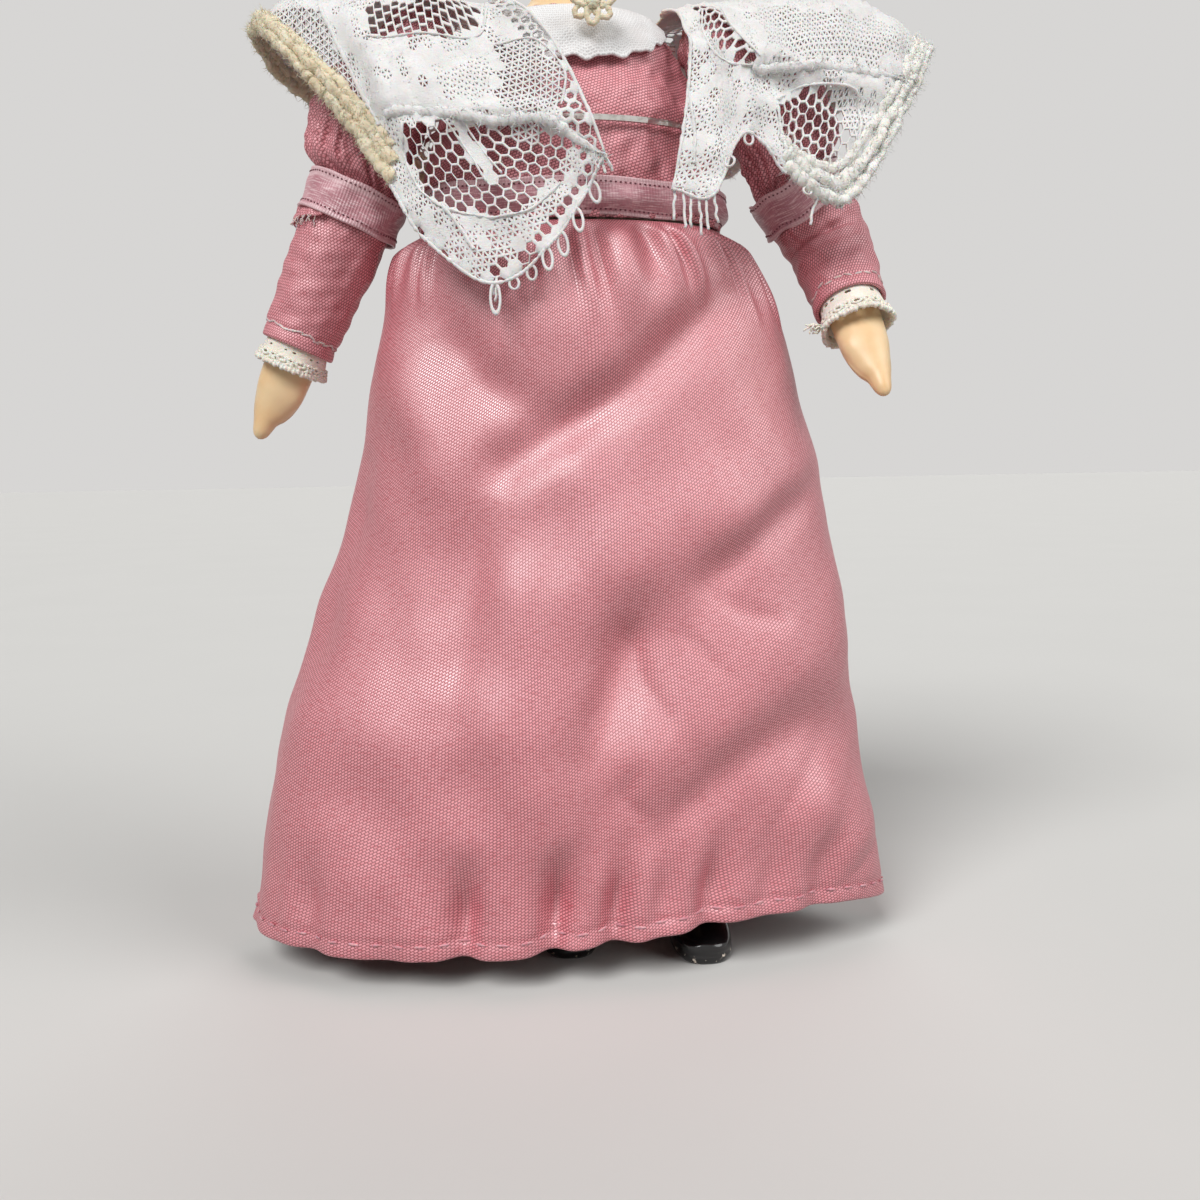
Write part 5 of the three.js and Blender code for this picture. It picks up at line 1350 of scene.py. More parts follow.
def make_cuff(name):
    """Lace at the wrist: a dense band with a few holes that ends in wavy cords and a scalloped edge."""
    side, sleeve = ARMS[name][0], ARMS[name][4]
    _, _, elbow, fore = arm_axes(name)
    short, flare = (1.1, 0.35) if name == "right" else (0.4, 0.4)
    top, foot = 0.9 - sleeve, -(sleeve + CUFF_WIDTH - short)
    around = 22

    def place(turn, down):
        """Point of the cuff by its turn in cells and its share of the way down."""
        a = TURN * turn / around
        radius = 3.58 + flare * smooth(down, 0.25, 1) + 0.14 * np.cos(5 * a + side) * down
        z = mix(top, foot, down) - 0.22 * np.abs(np.sin(math.pi * turn)) * smooth(down, 0.8, 1)
        z = z + 0.9 * (0.5 + 0.5 * np.sin(a)) * smooth(down, 0.3, 1)
        return elbow + ovals(a, radius, radius, z) @ fore.T

    rows_open = (0, 0, 0.7, 0, 0, 0.72, 0) if name == "left" else (0, 0, 0, 0.4, 0, 0.68, 0)
    count = len(rows_open)
    lace = Cloth()
    k, r = np.meshgrid(np.arange(2 * around), np.arange(count + 1))
    step = 1 - 2 * ((k + r) % 2)
    down = (r - 0.16 * step * ((r > 0) & (r < count))) / count
    points = place(k / 2, down).reshape(-1, 3)
    chance = np.random.default_rng(91 + side)
    cells, holes = [], []
    for row in range(count):
        for c in range(around):
            k0 = 2 * c + row % 2
            low = [(row + 1) * 2 * around + (k0 + i) % (2 * around) for i in range(3)]
            high = [row * 2 * around + (k0 + i) % (2 * around) for i in (2, 1, 0)]
            cells.append(low + high)
            holes.append(rows_open[row] * (0.7 + 0.5 * chance.random()) if chance.random() < 0.75 else 0)
    lace.openwork(points, cells, holes)
    piece = lace.piece(f"{name}_cuff_net", finish("cuff"), wall=0.24, subdivide=2)
    settle(piece, f"{name}_fore", [f"{name}_cuff_lace"])
    cords = Cloth()
    turn = np.linspace(0, around, 12 * around)
    # Cords: share of the way down, thickness and depth of their waves
    lines = ((1.0, 0.3, 0.0), (0.93, 0.2, 0.05), (0.8, 0.16, 0.07), (0.78, 0.16, -0.06))
    for level, thick, wave in lines:
        line = place(turn, level + wave * np.cos(math.pi * turn))
        out = line - elbow
        out = unit(out - np.outer(out @ fore[:, 2], fore[:, 2]))
        cords.tube(line + out * 0.06, thick * (1 + 0.25 * np.cos(5 * turn * TURN / 2)), 6)
    if name == "left":
        # The edge braid runs out past its seam and is frayed there
        for i in range(9):
            start = place(around * 0.53, 0.96)
            heading = (-1, -0.25 - 0.12 * (i % 3), -0.25 + 0.09 * i)
            cords.tube(strand(start, heading, 1.4 + 0.16 * i, 181 + i), 0.1, 6)
    cord = cords.piece(f"{name}_cuff_cords", finish("cuff"))
    settle(cord, f"{name}_fore")


def make_forearm(name):
    """Bisque forearm with a smooth mitten of a hand and a hint of a thumb."""
    side = ARMS[name][0]
    _, _, elbow, fore = arm_axes(name)
    wrist, tip = -ARMS[name][4], -FOREARM_LENGTH
    lean = 0.3 * side
    stations = (
        (tip, lean, 0, 0.2, 0.2),
        (mix(tip, wrist, 0.015), lean, 0, 0.56, 0.5),
        (mix(tip, wrist, 0.06), lean, 0, 0.92, 0.85),
        (mix(tip, wrist, 0.13), lean, 0, 1.18, 1.1),
        (mix(tip, wrist, 0.19), lean, 0, 1.42, 1.25),
        (mix(tip, wrist, 0.25), 0.4 * lean, 0, 1.86, 1.45),
        (mix(tip, wrist, 0.36), 0, 0, 2.34, 1.75),
        (mix(tip, wrist, 0.55), 0, 0, 2.76, 2.14),
        (wrist, 0, 0, 3.0, 2.3),
        (0.5 * wrist, 0, 0, 2.98, 2.92),
        *rounds((0, 3.08), (1.6, 2.65), (2.6, 1.7), (3.0, 0.75)),
    )
    heights = steps((tip, tip + 1.2, 12), (tip + 1.2, 3.0, 60))

    def thumb(points, a):
        """A low thumb ridge towards the body and a faint palm hollow in front."""
        x, y, z = points[..., 0], points[..., 1], points[..., 2]
        near = bell(z, mix(tip, wrist, 0.5), 1.6)
        inner = bell(x, -side * 2.4, 1.2) * bell(y, -1.2, 1.1)
        return 0.35 * near * inner - 0.12 * bell(z, mix(tip, wrist, 0.3), 2) * (y < 0)

    rows = lofted(stations, heights, 64, thumb)
    clay = Cloth().grid(elbow + rows @ fore.T, closed=True)
    clay.cap(elbow + np.array([0, 0, 3.08]) @ fore.T)
    clay.cap(elbow + np.array([lean, 0, tip - 0.06]) @ fore.T, first=True)
    hand = clay.piece(f"{name}_bisque_hand", finish("hand"))
    settle(hand, f"{name}_fore", [f"{name}_forearm"])


def stuff(pad, body, node):
    """Sets a calico case on its body."""
    settle(pad, body, [node])


def make_upper_arm(name):
    """Stuffed calico upper arm."""
    shoulder, upper, _, _ = arm_axes(name)
    foot = -(PUFF_LENGTH + BAND_WIDTH + ELBOW_DROP - 3.5)
    stations = (
        *rounds((foot, 0.8), (foot + 0.15, 1.6), (foot + 0.7, 2.45), (0.55 * foot, 2.85)),
        *rounds((0, 2.8), (1.5, 2.35), (2.4, 1.5), (2.8, 0.5)),
    )
    rows = lofted(stations, np.linspace(foot, 2.8, 50), 40, lambda p, a: 0.06 * ruffle(p, 1.6, 95))
    case = Cloth().grid(shoulder + rows @ upper.T, closed=True)
    case.cap(shoulder + np.array([0, 0, 2.85]) @ upper.T)
    pad = case.piece(f"{name}_upper_arm_case", finish("calico"), wall=CASE_WALL)
    stuff(pad, f"{name}_arm", f"{name}_upper_arm")


# Stuffed body, legs and head


def bored(mesh, radius, beyond):
    """Removes the faces that the arm wire passes through, beyond a distance from the middle."""
    work = bmesh.new()
    work.from_mesh(mesh)
    gone = []
    for face in work.faces:
        middle = np.array(face.calc_center_median()) / MM - AXIS
        if abs(middle[0]) > beyond and math.hypot(middle[1], middle[2] - SHOULDER) < radius:
            gone.append(face)
    bmesh.ops.delete(work, geom=gone, context="FACES")
    work.to_mesh(mesh)
    work.free()


def arched(points, radius, base):
    """Lifts points to an arch of a radius across the doll, which rises from a base height."""
    y, z = points[..., 1], points[..., 2]
    arch = base + np.sqrt(np.maximum(radius**2 - y**2, 0))
    points[..., 2] = np.maximum(z, np.where(np.abs(y) < radius, arch, 0))


def make_torso_pad():
    """Stuffed calico torso with a hollow seat for the hips."""
    seat = 6.1
    rows, _ = torso_rows(np.linspace(TORSO[0][0], TORSO_TOP, 70), -0.05, 110)
    rows = rows + outward(rows) * (0.1 * ruffle(rows, 4, 101) - 0.1)[..., None]
    under = np.array([rows[0] * (s, s, 1) for s in (0.25, 0.5, 0.75, 0.9, 0.97)])
    arched(under, seat, BEND)
    arched(rows[0], seat, BEND)
    over = np.array([rows[-1] * (s, s, 1) for s in (0.9, 0.6, 0.3)])
    case = Cloth().grid(np.concatenate([under, rows, over]), closed=True)
    case.cap((0, 0, BEND + seat), first=True).cap((0, 0, TORSO_TOP))
    pad = case.piece("torso_case", finish("calico"), wall=CASE_WALL)
    bored(pad.data, 1.1, 4)
    stuff(pad, "torso", "torso_pad")


def make_pelvis_pad():
    """Stuffed calico roll across the hips."""
    half = 13.0
    ends = ((1, 0.6), (0.985, 2.4), (0.95, 3.9), (0.72, 5.3))
    pairs = [(side * share * half, radius) for share, radius in ends for side in (-1, 1)]
    stations = rounds(*pairs, (0, 5.4))
    heights = np.linspace(-half, half, 60)
    rows = lofted(stations, heights, 60, lambda p, a: 0.08 * ruffle(p, 3, 103) - 0.05)
    lay = turned("Y", 90)
    case = Cloth().grid(np.array([0, 0, BEND]) + rows @ lay.T, closed=True)
    case.cap((-half - 0.02, 0, BEND), first=True).cap((half + 0.02, 0, BEND))
    pad = case.piece("pelvis_case", finish("calico"))
    stuff(pad, "hips", "pelvis_pad")


def leg_shift(name, z):
    """Sideways and backward place of a leg's middle at a height."""
    side, lean, back = LEGS[name]
    x = LEG_SHIFT + side * LEG_SPREAD + lean * (1 - z / HIP)
    return np.stack([x, back * np.maximum(0, 1 - z / KNEE)], -1)


def on_leg(name, rows):
    """Rows of an upright leg, set over to where the leg stands."""
    rows = rows.copy()
    rows[..., :2] += leg_shift(name, rows[..., 2])
    return rows


def make_thigh(name):
    """Stuffed calico thigh."""
    foot = KNEE + 3.5
    stations = (
        *rounds((foot, 0.8), (foot + 0.2, 2.4), (foot + 0.9, 3.55), (mix(foot, HIP, 0.5), 4.3)),
        *rounds((HIP, 4.3), (HIP + 2.2, 3.7), (HIP + 3.6, 2.4), (HIP + 4.25, 0.8)),
    )
    heights = np.linspace(foot, HIP + 4.25, 60)
    rows = lofted(stations, heights, 48, lambda p, a: 0.06 * ruffle(p, 2.4, 105) - 0.05)
    case = Cloth().grid(on_leg(name, rows), closed=True)
    top = on_leg(name, np.array([[[0, 0, HIP + 4.3]]], float))[0, 0]
    pad = case.cap(top).piece(f"{name}_thigh_case", finish("calico"), wall=CASE_WALL)
    stuff(pad, f"{name}_leg", f"{name}_thigh")


def make_drawers(name):
    """Linen drawers leg, gathered at the top, with a scalloped frill at its foot."""
    top = HIP + 2.4
    low = top - 25
    stations = rounds((low, 5.55), (top - 13.7, 5.3), (top, 5.15))

    def fullness(points, a):
        z = points[..., 2]
        frill = 1 - smooth(z, low, low + 5)
        return 0.16 * frill * np.cos(17 * a) - 0.1 * frill + 0.05 * ruffle(points, 2, 107) - 0.04

    rows = lofted(stations, np.linspace(low, top, 44), 136, fullness)
    rows[0, :, 2] += 0.25 * np.abs(np.sin(17 * np.linspace(0, TURN, 136, endpoint=False)))
    cloth = Cloth().grid(on_leg(name, rows), closed=True)
    drawers = cloth.piece(f"{name}_drawers_linen", finish("linen"), wall=0.3)
    settle(drawers, f"{name}_leg", [f"{name}_drawers_leg"])


def make_lower_leg(name):
    """Bisque lower leg with a moulded shoe: a rounded toe, a flat sole and a low heel."""
    length, wide, high, shin, ankle = 15.0, 3.65, 5.6, 3.1, 8.0
    half, middle = length / 2, 4 - length / 2
    stations = (
        (0, middle, 0.9 * wide, 0.96 * half, 0.72),
        (0.07 * high, middle, 0.96 * wide, 0.985 * half, 0.7),
        (0.2 * high, middle, wide, half, 0.7),
        (0.46 * high, middle, 0.98 * wide, 0.96 * half, 0.75),
        (0.71 * high, middle + 0.12 * length, 0.9 * wide, 0.8 * half, 0.85),
        (high, middle + 0.2 * length, 0.82 * wide, 0.56 * half, 1),
        (ankle, 0.4, 0.85 * shin, 0.95 * shin, 1),
        (mix(ankle, KNEE, 0.16), 0.2, 0.8 * shin, 0.85 * shin, 1),
        (mix(ankle, KNEE, 0.52), 0.3, 1.06 * shin, 1.12 * shin, 1),
        (KNEE, 0, shin, shin, 1),
        (KNEE + 1.6, 0, 0.855 * shin, 0.855 * shin, 1),
        (KNEE + 2.6, 0, 0.54 * shin, 0.54 * shin, 1),
        (KNEE + 3.0, 0, 0.22 * shin, 0.22 * shin, 1),
    )
    heights = steps((0, 9, 40), (9, KNEE + 3, 60))
    z, a = np.meshgrid(heights, round_angles(72), indexing="ij")
    y, rx, ry, square = along(stations, z)
    x = rx * squared(np.cos(a), square)
    y = y + ry * squared(np.sin(a), square)
    # A shallow seam round the sole and a throat line across the instep
    sole = bell(z, 1.15, 0.16)
    rim = bell(z, 4.6 + 0.16 * np.abs(y + 2), 0.22)
    points = np.stack([x, y, z], -1)
    points = points + outward(points) * (0.12 * rim - 0.13 * sole)[..., None]
    shares = np.array([0.08, 0.35, 0.7, 0.92])[:, None]
    rings = np.array([points[0] * (s, s, 1) for s in shares[:, 0]])
    rings[..., 1] += (1 - shares) * middle
    rows = np.concatenate([rings, points])
    arched(rows, 1.1, -0.22)
    rows = on_leg(name, rows)
    clay = Cloth().grid(rows, closed=True)
    clay.cap(rows[0].mean(0), first=True)
    clay.cap(rows[-1].mean(0) + (0, 0, 0.06))
    leg = clay.piece(f"{name}_bisque_leg", finish(f"{name}_leg"))
    settle(leg, f"{name}_shin", [f"{name}_lower_leg"])


HEAD = (
    (CHIN - 1.26, 0.2, 3.8, 3.8),
    (CHIN + 0.21, -0.9, 4.42, 4.77),
    (CHIN + 1.68, -0.8, 5.61, 6.48),
    (CHIN + 4.2, -0.4, 6.79, 7.83),
    (CHIN + 7.77, 0, 7.58, 8.64),
    (CHIN + 11.34, 0.2, 7.9, 9.0),
    (CHIN + 14.91, 0.4, 7.66, 9.0),
    (CHIN + 18.06, 0.5, 6.32, 7.56),
    (CHIN + 19.95, 0.5, 4.27, 5.22),
    (CROWN, 0.5, 1.42, 1.71),
)


def make_head():
    """Shoulder plate, neck and head in one shell of bisque, with a modelled face."""
    plate = np.linspace(SHOULDER - 6, TORSO_TOP - 1.4, 26)
    rows, _ = torso_rows(plate, PLATE, 128)
    neck = (
        (TORSO_TOP - 0.2, 0.1, 5.1, 4.9),
        (TORSO_TOP + 1.0, 0.25, 4.25, 4.2),
        (TORSO_TOP + 2.4, 0.3, 3.9, 3.9),
    )
    stations = [(z, 0, y, rx, ry) for z, y, rx, ry in neck + HEAD]
    heights = steps((TORSO_TOP - 0.2, CHIN, 22), (CHIN, CROWN, 96))

    def features(points, a):
        """Nose, brow, eye hollows, lips, chin and cheeks as low reliefs of the face."""
        x, y, up = points[..., 0], points[..., 1], points[..., 2] - CHIN
        face = smooth(-y, 1.5, 5.0)

        def mound(across, high, half_width, half_height):
            aside = np.abs(x) if across else x
            return bell(aside, across, half_width) * bell(up, high, half_height)

        relief = 1.2 * smooth(up, 5.4, 7.0) * (1 - smooth(up, 8.0, 11.8)) * bell(x, 0, 1.0)
        # Nose, eye hollows, eyes, brows, cheeks, lips, their parting and the chin
        mounds = (
            (0.3, 0, 6.2, 1.3, 0.7),
            (-0.5, 2.8, 9.9, 1.7, 1.1),
            (0.28, 2.7, 9.9, 1.1, 0.6),
            (0.3, 2.6, 12.0, 2.4, 0.9),
            (0.4, 3.9, 6.6, 2.2, 1.8),
            (0.3, 0, 3.6, 1.5, 0.75),
            (-0.16, 0, 3.65, 1.6, 0.16),
            (0.45, 0, 1.2, 1.8, 1.2),
        )
        for height, *place in mounds:
            relief += height * mound(*place)
        return face * relief

    head = lofted(stations, heights, 128, features)
    clay = Cloth().grid(np.concatenate([rows, head]), closed=True).cap((0, 0.5, CROWN + 0.1))
    bust = clay.piece("bisque_head", finish("face"), wall=0.8)
    bored(bust.data, 1.5, 4)
    settle(bust, "torso", ["shoulder_head"])


def make_wig_cap():
    """Wig combed up from the hairline to the bun, in waved locks."""
    thick, columns, count = 1.85, 260, 60
    over = [(z, 0, y, rx + thick, ry + thick) for z, y, rx, ry in HEAD[:-1]]
    over.append((CROWN + thick, 0, 0.5, 1.4, 1.6))
    angle = round_angles(columns)
    from_front = np.abs(np.arctan2(np.cos(angle), -np.sin(angle)))
    line = mix(16.2, 2.6, smooth(from_front, 0.75, 1.55)) + 0.35 * np.cos(9 * angle)
    line = line - 0.8 * bell(from_front, 0, 0.16)
    share = np.linspace(0, 1, count)[:, None]
    z = mix(CHIN + line[None, :], CROWN + thick, share)
    a = np.broadcast_to(angle, z.shape)
    x, y, rx, ry = along(over, z)
    points = ovals(a, rx, ry, z, x, y)
    wave = 1.6 * np.sin(4 * share + 2 * np.cos(3 * a))
    lock = np.cos(30 * a + wave) + 0.5 * np.cos(67 * a + 2 * wave)
    combed = smooth(share, -0.2, 0.3) * (1 - smooth(share, 0.93, 1))
    relief = 0.2 * lock * combed + 0.12 * ruffle(points, 2.4, 111) - 0.22
    relief = relief - 0.35 * (1 - smooth(share, 0, 0.12))
    points = points + outward(points) * relief[..., None]
    flat = np.stack(np.meshgrid(np.linspace(0, 60, columns + 1), 18 * share[:, 0]), -1)
    wig = Cloth().grid(points, flat, closed=True).cap((0, 0.5, CROWN + 1.8))
    settle(wig.piece("wig_cap", finish("hair"), wall=1.2), "torso", ["hair_cap"])


def make_wig_bun():
    """Coiled bun on the crown."""
    middle = node_middle("hair_bun") - AXIS
    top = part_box("hair_bun")[1].z / MM
    columns, count = 180, 50
    turns = np.linspace(0, TURN, columns, endpoint=False)
    turn, rise = np.meshgrid(turns, np.linspace(-0.5, 1, count))
    lift = rise * math.pi / 2
    radius = 5.1 * np.cos(lift) + 0.04
    coil = np.cos(11 * turn + 7 * rise) + 0.5 * np.cos(23 * turn + 13 * rise)
    ball = ovals(turn, radius, radius, 3.35 * np.sin(lift))
    ball = ball + outward(ball) * (0.2 * coil * (1 - smooth(rise, 0.85, 1)) - 0.25)[..., None]
    ball += (middle[0], middle[1], top - 3.4)
    flat = np.stack(np.meshgrid(np.linspace(0, 60, columns + 1), np.linspace(0, 8, count)), -1)
    flat[..., 0] += 4 * np.linspace(0, 1, count)[:, None]
    bun = Cloth().grid(ball, flat, closed=True).cap((middle[0], middle[1], top - 0.28))
    bun.cap((middle[0], middle[1], ball[0, :, 2].mean()), first=True)
    settle(bun.piece("wig_bun", finish("hair")), "torso", ["hair_bun"])


# Collar


class Collar:
    """One half of the collar: ribs that leave the neck, bend over a crest and hang to the edge."""

    def __init__(self, name):
        self.name = name
        for label, value in COLLARS[name].items():
            setattr(self, label, value)
        self.first, self.last = self.edge[0][0], self.edge[-1][0]
        self.flatten()
        share = np.meshgrid(np.linspace(0, 0.55, 320), np.linspace(0.1, 1, 150), indexing="ij")
        self.known = share, self.points(*share)

    def ribs(self, u, v):
        """Points of the unfolded half by the share round it and the share down each rib."""
        deg = mix(self.first, self.last, u)
        reach, drop = along(self.edge, deg)
        over = smooth(deg, self.first, 80) * (1 - smooth(deg, 100, self.last))
        rx, ry = along(TORSO, NECKLINE) + TRIM + 0.6
        turn, start = np.radians(deg), np.radians(mix(self.neck, self.last, u))
        neck = np.stack([self.side * rx * np.sin(start), -ry * np.cos(start), COLLAR_NECK + 0 * u], -1)
        foot = np.stack([self.side * reach * np.sin(turn), -reach * np.cos(turn), COLLAR_NECK - drop], -1)
        crest = neck + (foot - neck) * mix(0.5, 0.8, over)[..., None]
        near_front = 1 - smooth(deg, self.first, self.first + 50)
        crest[..., 0] += self.side * self.bow[0] * near_front
        crest[..., 1] -= self.bow[1] * near_front
        crest[..., 2] = mix(COLLAR_NECK + 0.3, COLLAR_TOP, over)
        v = v[..., None]
        return (1 - v) ** 2 * neck + 2 * v * (1 - v) * crest + v**2 * foot

    def facing(self, u, v):
        """Directions that the upper side of the unfolded half faces."""
        step = 0.004
        low_u, low_v = np.clip(u - step, 0, 1), np.clip(v - step, 0, 1)
        high_u, high_v = np.clip(u + step, 0, 1), np.clip(v + step, 0, 1)
        round_half = self.ribs(high_u, v) - self.ribs(low_u, v)
        down_rib = self.ribs(u, high_v) - self.ribs(u, low_v)
        return -self.side * unit(np.cross(round_half, down_rib))

    def points(self, u, v, lift=0.0):
        """Points of the draped half, with its folds, waves and a height above the cloth."""
        u, v = np.broadcast_arrays(np.asarray(u, float), np.asarray(v, float))
        base = self.ribs(u, v)
        x, z = base[..., 0], base[..., 2]
        front = smooth(-base[..., 1], -2, 6)
        rise = 0.4 + 0.3 * ruffle(base, 6, 121 + self.side) * smooth(v, 0.1, 0.5)
        rise += 0.9 * np.cos(9 * TURN * u) * (1 - front) * smooth(v, 0.35, 1)
        for start, middle, end, width, height in self.folds:
            rise += front * height * fold_line(x, z, start, middle, end, width)
        # The upper layer lies over the lower one and ends at its turned edge
        across, high = np.array(sorted(self.roll)).T
        above = z - np.interp(x, across, high)
        beside = smooth(x, across[0] - 2, across[0]) * (1 - smooth(x, across[-1], across[-1] + 2))
        rise += front * beside * 0.8 * smooth(above, -0.3, 0.5) * (1 - smooth(above, 2, 10))
        return base + self.facing(u, v) * (rise + lift)[..., None]

    def flatten(self):
        """Lays the half out flat: an angle for each rib and a length along it from the neck."""
        even = np.linspace(0, 1, FLAT_STEPS + 1)
        self.shares = np.linspace(0, 1, FLAT_RIBS + 1)
        net = self.ribs(*np.meshgrid(self.shares, even, indexing="ij"))
        parts = np.linalg.norm(np.diff(net, axis=1), axis=2)
        length = np.concatenate([np.zeros((FLAT_RIBS + 1, 1)), np.cumsum(parts, 1)], 1)
        self.length = length[:, -1]
        share = length / self.length[:, None]
        self.by_share = np.array([np.interp(even, row, even) for row in share])
        across = np.linalg.norm(np.diff(net[:, 48], axis=0), axis=1)
        out = FLAT_NECK + 0.8 * (self.length[1:] + self.length[:-1]) / 2
        self.angle = np.concatenate([[0], np.cumsum(across / out)])

    def on_cloth(self, flat):
        """Share round, share down and how far past the edge each flat place is."""
        angle = np.arctan2(flat[..., 1], flat[..., 0])
        out = np.hypot(flat[..., 0], flat[..., 1]) - FLAT_NECK
        u = np.interp(angle, self.angle, self.shares)
        length = np.interp(u, self.shares, self.length)
        beside = np.maximum(-angle, angle - self.angle[-1]) * (out + FLAT_NECK)
        past = np.maximum(np.maximum(out - length, beside), -out)
        q = np.clip(out / length, 0, 1)
        i = np.clip((u * FLAT_RIBS).astype(int), 0, FLAT_RIBS - 1)
        j = np.clip((q * FLAT_STEPS).astype(int), 0, FLAT_STEPS - 1)
        f, g = u * FLAT_RIBS - i, q * FLAT_STEPS - j
        table = self.by_share
        low = mix(table[i, j], table[i + 1, j], f)
        high = mix(table[i, j + 1], table[i + 1, j + 1], f)
        return u, mix(low, high, g), past

    def at(self, deg):
        """Share round the half of an angle in degrees."""
        return (np.asarray(deg, float) - self.first) / (self.last - self.first)

    def traced(self, corners, lift, closed=False):
        """A smooth line on the front of the cloth through places given as x and z."""
        path = np.array(corners + corners[:1] if closed else corners, float)
        run = np.concatenate([[0], np.cumsum(np.linalg.norm(np.diff(path, axis=0), axis=1))])
        line = along(np.column_stack([run, path]), np.arange(0, run[-1], 0.3))
        (u, v), known = self.known
        found = []
        for x, z in line.T:
            away = (known[..., 0] - x) ** 2 + (known[..., 2] - z) ** 2
            away += np.where(known[..., 1] > 4, 99, 0)
            best = np.unravel_index(np.argmin(away), away.shape)
            found.append((u[best], v[best]))
        even = np.ones(5) / 5
        u, v = (np.convolve(np.pad(value, 2, "edge"), even, "valid") for value in np.array(found).T)
        return self.points(u, v, lift)


def inside(outline, x, z):
    """Whether places are inside an outline of x and z corners."""
    within = np.zeros(np.shape(x), bool)
    for (ax, az), (bx, bz) in zip(outline, outline[1:] + outline[:1]):
        crosses = (az > z) != (bz > z)
        within ^= crosses & (x < (bx - ax) * (z - az) / (bz - az if bz != az else 1) + ax)
    return within


def lace_ground(half, middle, past, deg, chance):
    """Kind of lace at a cell and the share of it that is open."""
    x, y, z = middle
    if past < -1.0 and y < 4:
        for kind, share, outline in half.grounds:
            if inside(outline, x, z):
                return kind, share * (0.95 + 0.1 * chance.random())
    if half.name == "right" and -2.6 < past < -1.1 and deg < 30:
        return "net", 0.55 + 0.35 * chance.random()
    if y > 4 and -8 < past < -2.2:
        return "net", 0.84
    sheer = 0.7 if z < half.lobe_top else 0.4
    if past < -0.5 and chance.random() < sheer:
        return "fine", 0.3 + 0.3 * chance.random()
    return "toile", 0


def make_collar(name):
    """Net, toile and pinholes of one half on a lattice of six-sided cells, laid out flat and draped."""
    lace = bpy.context.scene.doll_lace
    half = Collar(name)
    pitch = lace.cell_pitch
    rise = 0.82 * pitch
    reach = FLAT_NECK + half.length.max() + 2
    columns, rows = int(2 * reach / (0.5 * pitch)) + 2, int(2 * reach / rise) + 2
    k, r = np.meshgrid(np.arange(columns), np.arange(rows))
    flat = np.stack([(k - columns / 2) * 0.5 * pitch, (r - rows / 2) * rise], -1)
    u, v, _ = half.on_cloth(flat)
    level = half.points(u, v)
    square = np.zeros(u.shape, bool)
    for kind, _, outline in half.grounds:
        if kind == "brick":
            square |= inside(outline, level[..., 0], level[..., 2])
    flat[..., 1] += np.where((k + r) % 2 == 0, 1, -1) * np.where(square, 0, 0.17 * rise)
    u, v, past = half.on_cloth(flat)
    points, normal = half.points(u, v), half.facing(u, v)
    chance = np.random.default_rng(131 + half.side)
    net = list(points.reshape(-1, 3))
    cells, holes = [], []
    for row in range(rows - 1):
        for k0 in range(row % 2, columns - 2, 2):
            ring = [(row, k0 + i) for i in (0, 1, 2)] + [(row + 1, k0 + i) for i in (2, 1, 0)]
            depth = [past[i] for i in ring]
            if np.mean(depth) > 0 or max(depth) > 1.4 * pitch:
                continue
            middle = np.mean([points[i] for i in ring], axis=0)
            deg = mix(half.first, half.last, u[row, k0 + 1])
            kind, share = lace_ground(half, middle, np.mean(depth), deg, chance)
            corners = [a * columns + b for a, b in ring][:: half.side]
            if kind in ("net", "brick"):
                cells.append(corners)
                holes.append(share)
                continue
            lift = 0 if share else lace.relief * (2 * chance.random() - 0.7)
            net.append(middle + lift * normal[row, k0 + 1])
            for a, b in zip(corners, corners[1:] + corners[:1]):
                cells.append([a, b, len(net) - 1])
                holes.append(share)
    cloth = Cloth()
    cloth.openwork(np.array(net), cells, holes)
    piece = cloth.piece(f"{name}_collar_lace", finish("lace"), wall=lace.thread)
    hang_collar(piece, [f"{name}_collar"])
    trims = collar_trims(half)
    fluff = fibres(f"{name}_lace_fuzz", piece.data, 0.16 * lace.fuzz, "lace", 0.55, 0.025)
    trims.append(hang_collar(fluff))


def hang_collar(piece, stands_for=()):
    """Bakes a collar piece where it is and hides the CAD solids that it stands for."""
    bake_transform(piece)
    dress(stands_for)
    return piece


def edge_line(half, low, high, lift=0.0, inset=0.0):
    """A line along the collar's edge between two angles, set in from it and lifted off the cloth."""
    u = np.linspace(half.at(low), half.at(high), 40 + int(6 * abs(high - low)))
    return half.points(u, 1 - inset / 25 + 0 * u, lift)


def woolly(line, radius, seed, wool):
    """Uneven thickness of a spun cord."""
    return radius * (1 + wool * ruffle(line, 0.55, seed))


def strand(start, heading, length, seed, curl=0.12):
    """A loose thread from a place, drooping as it goes."""
    t = np.linspace(0, 1, 14)[:, None]
    heading = unit(np.asarray(heading, float))
    droop = np.array([0, 0, -0.35]) * t**2
    curl = curl * np.stack([ruffle(3 * t, 0.9, seed + i) for i in range(3)], -1) * t
    return start + length * (heading * t + droop + curl)


